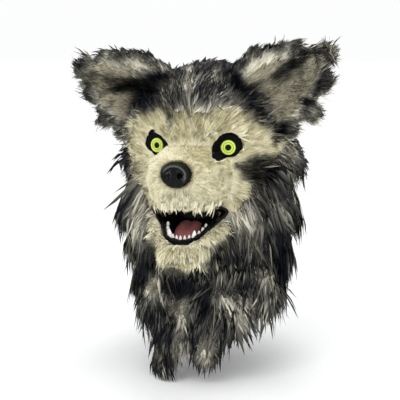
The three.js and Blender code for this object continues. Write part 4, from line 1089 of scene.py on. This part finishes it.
# %% Eyes
EYE_COLUMNS = 56
EYE_SEAT = 0.003
IRIS_RADIUS = 0.0107
IRIS_PROFILE = [
    (3.9, 0.1), (10.6, 0.1), (10.7, 3.2), (10.55, 4.1), (10.1, 4.8), (9.3, 5.25), (8.5, 5.3),
    (7.9, 5.0), (7.5, 4.5), (7.1, 4.3), (6.8, 4.5), (6.4, 4.95), (5.7, 5.15), (4.9, 5.05),
    (4.3, 4.7), (3.95, 4.2), (3.9, 0.1),
]
PUPIL_PROFILE = [
    (0, 0.1), (3.85, 0.1), (3.85, 4.4), (3.6, 4.95), (3.0, 5.3), (2.3, 5.25), (1.7, 4.9),
    (0.9, 4.6), (0, 4.5),
]


def lathed(profile, middle, across, ahead):
    """Rings of radius r and height h round the line ahead, from a seat 3 mm behind the middle."""
    r, h = np.array(profile).T * 0.001
    angle = circle(EYE_COLUMNS)[:, None]
    around = np.cos(angle) * across + np.sin(angle) * np.array([0, 0, 1])
    return middle + (h[:, None, None] - EYE_SEAT) * ahead + r[:, None, None] * around[None]


iris_green, tree, shader = new_material("iris_green", Roughness=0.16, Specular_IOR_Level=0.4, Coat_Weight=0.5)
# Partly painted light and shade: over the ring's green, darker at the groove (0.665), by the pupil and at the
# rim, lighter on the crests.
green = color_steps(
    tree, "ring", (0.36, (0.12, 0.20, 0.02)), (0.46, (0.56, 0.70, 0.08)),
    (0.6, (0.62, 0.76, 0.10)), (0.665, (0.20, 0.32, 0.03)), (0.73, (0.58, 0.72, 0.08)),
    (0.9, (0.70, 0.82, 0.14)), (1.0, (0.26, 0.38, 0.03)))
grained(tree, shader, green, 700, 0.5)

for name, (middle, across, ahead, _) in eye_frames.items():
    look = (middle, across, ahead)
    iris = add_solid("iris_ring_" + name, [lathed(IRIS_PROFILE, *look)], iris_green, "iris", "iris_" + name)
    places, _ = places_of(iris)
    away = places - middle
    radius = np.linalg.norm(away - (away @ ahead)[:, None] * ahead, axis=1)
    attribute(iris, "ring", radius / IRIS_RADIUS)
    add_solid("pupil_dome_" + name, [lathed(PUPIL_PROFILE, *look)], nose_black, "gloss", "pupil_" + name)

# %% [markdown]
# Round each eye the fur is cut back to a black felt edging, which gives the opening its sharp,
# pointed outline. A line is cast back at each of its points: where it meets the wool the edging
# lies on it, and further in it dips into the socket.

# %% Eye edging
EDGING_STEPS = np.linspace(1, 0, 12)
EDGING_COLUMNS = 96
EDGING_INNER = 0.62
EDGING_LEAST = 0.68
EDGING_THICKNESS = 0.0012
EDGING_LIFT = 0.0014
EDGING_DEEPEST = -0.006
face_tree = BVHTree.FromObject(wool["face"], bpy.context.evaluated_depsgraph_get())


def eye_edging(name):
    """A ring of felt from the opening's outline in to 0.62 of the eye's half size, 1.2 mm thick. Its
    face follows the wool where a line cast back from 30 mm ahead meets it."""
    middle, across, ahead, side = eye_frames[name]
    columns = []
    for angle in circle(EDGING_COLUMNS):
        reach = max(float(eye_reach(name, math.degrees(angle))), EDGING_LEAST)
        way = side * math.cos(angle) * EYE_HALF[0] * across
        way = way + math.sin(angle) * EYE_HALF[1] * np.array([0, 0, 1])
        height, column = -0.002, []
        for step in EDGING_STEPS:
            foot = middle + (EDGING_INNER + (reach - EDGING_INNER) * step) * way
            hit = face_tree.ray_cast(Vector(foot + 0.03 * ahead), Vector(-ahead), 0.05)[0]
            if hit is None:
                height -= EDGING_THICKNESS
            else:
                height = float((np.array(hit) - middle) @ ahead) + EDGING_LIFT
            column.append(foot + max(height, EDGING_DEEPEST) * ahead)
        columns.append(column)
    face = np.array(columns).transpose(1, 0, 2)
    back = face[::-1] - EDGING_THICKNESS * ahead
    return np.concatenate([face, back, face[:1]])


for name in eye_frames:
    add_solid("eye_edging_" + name, [eye_edging(name)], socket_black, "shell")

# %% [markdown]
# The mouth's edge is a smooth black lip: a round section drawn along the mouth's rim, thick at the
# corners, and a wavier one along the jaw. Black webs close the cheeks between the jaws, with a soft
# pad behind each corner.

# %% Lips and gums
MOUTH_RIM = np.array([
    (0, 0, 0.94, 0), (25, 0.36, 0.88, 0.01), (50, 0.68, 0.58, 0.04), (72, 0.88, 0.24, 0.1), (90, 1, 0, 0.25),
    (108, 0.88, 0.08, 0.42), (130, 0.62, 0.4, 0.72), (155, 0.4, 0.8, 0.96), (180, 0, 0.94, 1.04),
])
JAW_PLAN = np.array([
    (0, 1), (0.25, 0.98), (0.5, 0.88), (0.72, 0.74), (0.87, 0.56), (0.96, 0.36), (1, 0.16), (1.0, 0),
])
JAW_BACK_Y = -0.086
JAW_LENGTH = 0.072
JAW_HALF_WIDTH = 0.040
JAW_BACK_Z = -0.1869
JAW_SLOPE = 0.034
RIM_HALF_WIDTH = 0.056
RIM_BACK_Y = -0.104
RIM_REACH = 0.050
RIM_TOP_Z = -0.171
RIM_DROP = 0.050
WEB_TURNS = np.linspace(42, 150, 60)
WEB_WALL = 0.0012
WEB_BULGE = 0.002
THROAT_Y = -0.082
THROAT_Z = -0.196
THROAT_HALF_WIDTH = 0.032
THROAT_HALF_HEIGHT = 0.014


def jaw_height(y):
    """The height of the jaw's upper edge, which rises evenly to the front."""
    return JAW_BACK_Z + (y - JAW_BACK_Y) / JAW_LENGTH * JAW_SLOPE


def rim_places(turns):
    """Places on the mouth's rim by their turn in degrees from the middle of the upper lip."""
    out, reach, drop = read_table(MOUTH_RIM, np.abs(turns))
    x = np.sign(turns) * out * RIM_HALF_WIDTH
    return np.stack([x, RIM_BACK_Y - reach * RIM_REACH, RIM_TOP_Z - drop * RIM_DROP], axis=1)


def jaw_edge(inset, count=120):
    """A path round the jaw from its left back corner to its right one, moved in by inset."""
    reach, half = JAW_PLAN.T
    y = JAW_BACK_Y - reach * JAW_LENGTH + inset * reach ** 4
    x = np.maximum(half * JAW_HALF_WIDTH - inset * (half > 0), 0)
    x = np.concatenate([x, -x[-2::-1]])
    y = np.concatenate([y, y[-2::-1]])
    path = np.stack([x, y, jaw_height(y)], axis=1)
    along = np.concatenate([[0], np.cumsum(np.linalg.norm(np.diff(path, axis=0), axis=1))])
    even = np.linspace(0, along[-1], count)
    return eased(np.stack([np.interp(even, along, path[:, k]) for k in range(3)], axis=1), 90)


rim_turns = np.linspace(-150, 150, 160)
rim = eased(rim_places(rim_turns), 8)
corner = bell(np.abs(rim_turns), 98, 22)
rim_radius = 0.0012 + 0.0018 * corner
add_solid("lip_rim", [swept(rim, rim_radius)], gum_black, "shell")

WEB_DEPTHS = np.linspace(0, 0.5, 14)


def cheek_web(side):
    """Between the rim and a ring on the way to the throat: lip + d (throat - lip), bulging out a
    little in its middle, with a wall of 1.2 mm."""
    turns = side * WEB_TURNS
    lip = rim_places(turns)
    angle = np.radians(turns)
    width = THROAT_HALF_WIDTH * np.sin(angle)
    height = THROAT_Z + THROAT_HALF_HEIGHT * np.cos(angle)
    throat = np.stack([width, np.full(len(angle), THROAT_Y), height], axis=1)
    middle = np.array([0, 0, THROAT_Z])
    d = WEB_DEPTHS[None, :, None]
    sheet = lip[:, None] + d * (throat - lip)[:, None]
    away = unit((sheet - middle) * [1, 0, 1])
    outer = sheet + away * 0.0003
    inner = sheet - away * (WEB_WALL + WEB_BULGE * np.sin(WEB_DEPTHS * 2 * math.pi))[None, :, None]
    return capped(np.concatenate([outer, inner[:, ::-1]], axis=1))


add_solid("cheek_webs", [cheek_web(side) for side in SIDES.values()], gum_black, "shell")

PAD_PLACE = (0.0465, -0.0885, -0.190)
PAD_HALF = (0.0085, 0.0085, 0.0105)


def ball(middle, half, rows=18, columns=24):
    """Rings of a ball with its own half size on each axis."""
    v = np.linspace(0, math.pi, rows)[:, None]
    u = circle(columns)[None]
    ahead = np.stack([np.sin(v) * np.cos(u), np.sin(v) * np.sin(u), np.cos(v) * np.ones_like(u)], axis=-1)
    return np.array(middle) + ahead * np.array(half)


pads = [ball(np.multiply(PAD_PLACE, [side, 1, 1]), PAD_HALF) for side in SIDES.values()]
add_solid("cheek_pads", pads, gum_black, "shell")

jaw_path = jaw_edge(0.0012)
turns = np.linspace(0, 1, len(jaw_path))
ripple = 0.0004 * np.sin(turns * 95) + 0.0003 * np.sin(turns * 57 + 1)
add_solid("jaw_lip", [swept(jaw_path + [0, 0, 0.0002], 0.0022 + ripple)], gum_black, "shell")
gum_path = jaw_edge(0.0080)[6:-6] - [0, 0, 0.0062]
gum_radius = 0.0036 + 0.0005 * np.sin(np.linspace(0, 70, len(gum_path)))
add_solid("gum_ridge", [swept(gum_path, gum_radius)], gum_black, "shell")

# %% [markdown]
# The teeth stand apart in the gum: five pointed incisors, a larger canine at each side, and three
# blunt molars behind it. A crown is a stack of rounded rings that narrows by a power of its height.

# %% Teeth
INCISOR_COUNT = 5
INCISOR_SIZE = (0.0090, 0.0064, 0.0056)
CANINE_PLACE = 0.80
CANINE_SIZE = (0.0142, 0.0104, 0.0088)
MOLAR_PLACES = (0.68, 0.56, 0.44)
MOLAR_SIZE = (0.0088, 0.0058, 0.0062)
POINTED = 1
BLUNT = 2.2
GUM_INSET = 0.008
GUM_DEPTH = 0.007
TOOTH_ROWS = 16
TOOTH_COLUMNS = 20


def crown(place, height, width, depth, power, lean):
    """Rings of half width w (1 - s^p)^0.5 at the share s of the height, or for a pointed tooth
    w (1 - s)^0.75 (1 + s / 4), leaning outwards."""
    s = np.linspace(0, 1, TOOTH_ROWS)[:, None]
    angle = circle(TOOTH_COLUMNS)[None]
    blunt = np.sqrt(np.clip(1 - s ** power, 0, 1))
    spread = blunt if power > POINTED else (1 - s) ** 0.75 * (1 + 0.25 * s)
    x = spread * np.cos(angle) * width / 2 + lean[0] * s
    y = spread * np.sin(angle) * depth / 2 + lean[1] * s
    z = s * height * np.ones_like(angle)
    body = np.array(place) + np.stack([x, y, z], axis=-1)
    foot = np.repeat(body[:1].mean(axis=1, keepdims=True), TOOTH_COLUMNS, axis=1)
    return np.concatenate([foot, body])


def gum_place(side, reach):
    """A place on the gum by its share of the jaw's length."""
    y = JAW_BACK_Y - reach * JAW_LENGTH + GUM_INSET * reach ** 4
    half, = read_table(JAW_PLAN[:-1], reach)
    return [side * (half * JAW_HALF_WIDTH - GUM_INSET), y, jaw_height(y) - GUM_DEPTH]


front = gum_place(1, 0.84)
incisors = []
for k in range(INCISOR_COUNT):
    across = k / (INCISOR_COUNT - 1) * 2 - 1
    bow = 1 - across ** 2
    place = [across * 0.0118 - 0.0006, front[1] - 0.003 * bow, front[2] - 0.0012 * bow]
    incisors.append(crown(place, *INCISOR_SIZE, POINTED, (0, -0.0008)))
add_solid("incisor_row", incisors, tooth_white, "tooth", "incisors")
for name, side in SIDES.items():
    canine = crown(gum_place(side, CANINE_PLACE), *CANINE_SIZE, POINTED, (side * 0.0004, -0.0010))
    add_solid("canine_tooth_" + name, [canine], tooth_white, "tooth", "canine_" + name)
    molars = [crown(gum_place(side, reach), *MOLAR_SIZE, BLUNT, (0, 0)) for reach in MOLAR_PLACES]
    add_solid("molar_row_" + name, molars, tooth_white, "tooth", "molars_" + name)

# %% [markdown]
# The tongue is a soft rubber pad with a groove that parts it into two lobes at the back. Each
# section is a dome over its width with that groove taken out, closed underneath.

# %% Tongue
TONGUE_BACK = 0.12
TONGUE_LENGTH = 0.050
TONGUE_HALF_WIDTH = 0.0195
TONGUE_RISE = 0.0068
TONGUE_BED_DROP = 0.014 * 0.62
TONGUE_SECTIONS = np.array([
    (0, 0.72, 0.55), (0.04, 0.9, 0.85), (0.3, 1, 1.1), (0.6, 0.95, 1), (0.85, 0.7, 0.8), (0.97, 0.4, 0.5),
    (1, 0.1, 0.25),
])


def tongue_grid(rows=40, columns=30):
    """x = u w, z = floor + T rise (1 - |u|^2.6) (1 - g exp(-(u / 0.2)^2)), with g greater at the back."""
    reach = np.linspace(0, 1, rows)
    half, rise = read_table(TONGUE_SECTIONS, reach)
    at = TONGUE_BACK + reach * TONGUE_LENGTH / JAW_LENGTH
    y = JAW_BACK_Y - at * JAW_LENGTH
    bed, = read_table(JAW_PLAN[:-1], at)
    wide = np.minimum(half * TONGUE_HALF_WIDTH, (bed * JAW_HALF_WIDTH - 0.0138) * 0.84)
    floor = jaw_height(y) - TONGUE_BED_DROP - 0.0055 * (1 - reach)
    angle = circle(columns)
    u = np.cos(angle)
    over = np.sin(angle) >= 0
    groove = (0.62 - 0.42 * smoothstep(reach, 0.1, 0.8))[:, None] * bell(u[None], 0, 0.2)
    top = TONGUE_RISE * rise[:, None] * (1 - np.abs(u[None]) ** 2.6) * (1 - groove)
    z = floor[:, None] + np.where(over[None], top, -0.002 * (1 - np.abs(u[None]) ** 2))
    return capped(np.stack([wide[:, None] * u[None], np.repeat(y[:, None], columns, axis=1), z], axis=-1))


add_solid("tongue_pad", [tongue_grid()], tongue_red, "tongue", "tongue")

# %% [markdown]
# The neck's fur hangs on a dark knitted tube. Its rings are rounded ovals with sizes from a table,
# and its hem follows the bib's two lobes. It hangs still on a stiff pelt, so it is drawn as it
# hangs.

# %% Neck cloth
CLOTH_ROWS = np.array([
    (0, 0.95, 0.80, 0.88), (0.35, 0.91, 0.85, 0.84), (0.7, 0.83, 0.90, 0.79), (1, 0.76, 0.95, 0.75),
])
CLOTH_HALF_WIDTH = 0.101
CLOTH_FRONT = 0.104
CLOTH_BACK = 0.108
CLOTH_OUTSIDE = -0.0006
CLOTH_INSIDE = -0.0020
CLOTH_POWER = 2 / 2.3
FOLD_COUNT = 5
FOLD_DEPTH = 0.005
CLOTH_TURNS = circle(120)


def cloth_fall():
    """How far the tube hangs down at each turn, by the same hem as the fur's."""
    turning = np.stack([np.sin(CLOTH_TURNS), -np.cos(CLOTH_TURNS), np.zeros(len(CLOTH_TURNS))], axis=1)
    return NECK_TOP_Z - hem_height(turning)


def cloth_ring(share, grow):
    """x = side pow(sin a), y = -front or -back pow(cos a), with pow(v) = |v|^(2/2.3) and v's sign,
    and a wave of five folds that deepens with the square of the share of the way down."""
    side, front, back = read_table(CLOTH_ROWS, share)
    sine, cosine = np.sin(CLOTH_TURNS), np.cos(CLOTH_TURNS)
    wave = FOLD_DEPTH * share ** 2 * np.cos(FOLD_COUNT * CLOTH_TURNS + 0.6) + grow
    along = np.where(cosine > 0, front * CLOTH_FRONT, back * CLOTH_BACK) + wave
    x = (side * CLOTH_HALF_WIDTH + wave) * np.sign(sine) * np.abs(sine) ** CLOTH_POWER
    y = -along * np.sign(cosine) * np.abs(cosine) ** CLOTH_POWER
    return np.stack([x, y, NECK_TOP_Z - share * cloth_fall()], axis=1)


shares = np.linspace(0, 1, 24)
outer = [cloth_ring(share, CLOTH_OUTSIDE) for share in shares]
inner = [cloth_ring(share, CLOTH_INSIDE) for share in shares[::-1]]

knit_dark, tree, shader = new_material("knit_dark", Roughness=0.9, Specular_IOR_Level=0.1)
place = add_node(tree, "ShaderNodeTexCoord")
knit_rows = add_node(tree, "ShaderNodeTexWave", bands_direction="Z", Scale=120, Distortion=2, Detail=2)
tree.links.new(place.outputs["Object"], knit_rows.inputs["Vector"])
knit_color = color_steps(
    tree, knit_rows.outputs["Fac"], (0, (0.012, 0.012, 0.011)), (1, (0.045, 0.043, 0.040)))
tree.links.new(knit_color, shader.inputs["Base Color"])
bumped(tree, shader, knit_rows.outputs["Fac"], 0.6, 0.0006)
neck_tube = add_solid("neck_tube", [np.stack(outer + inner + outer[:1])], knit_dark, "cloth", "neck_cloth")

# %% [markdown]
# The shell, the mouth lining, the jaw and the eye sockets keep their solids and only get their
# finish: moulded plastic that shows at the lips, in the mouth and behind the eyes.

# %% Hard pieces
FINISHES = {
    "head_shell": shell_black, "mouth_lining": gum_black, "jaw": gum_black,
    "eye_socket_left": socket_black, "eye_socket_right": socket_black,
}
for name, finish in FINISHES.items():
    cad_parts[name].data.materials.clear()
    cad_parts[name].data.materials.append(finish)
print("finished", ", ".join(FINISHES))

# %% [markdown]
# The triangles of every piece are counted, because a mask that is used elsewhere has to stay
# light.

# %% Size of the finished mask
bpy.context.view_layer.update()
drawn = [piece.data for piece in bpy.data.objects if piece.type == "MESH" and piece.users_collection]
triangles = [sum(len(face.vertices) - 2 for face in mesh.polygons) for mesh in drawn]
print("largest piece", max(triangles), "triangles, all", sum(triangles))
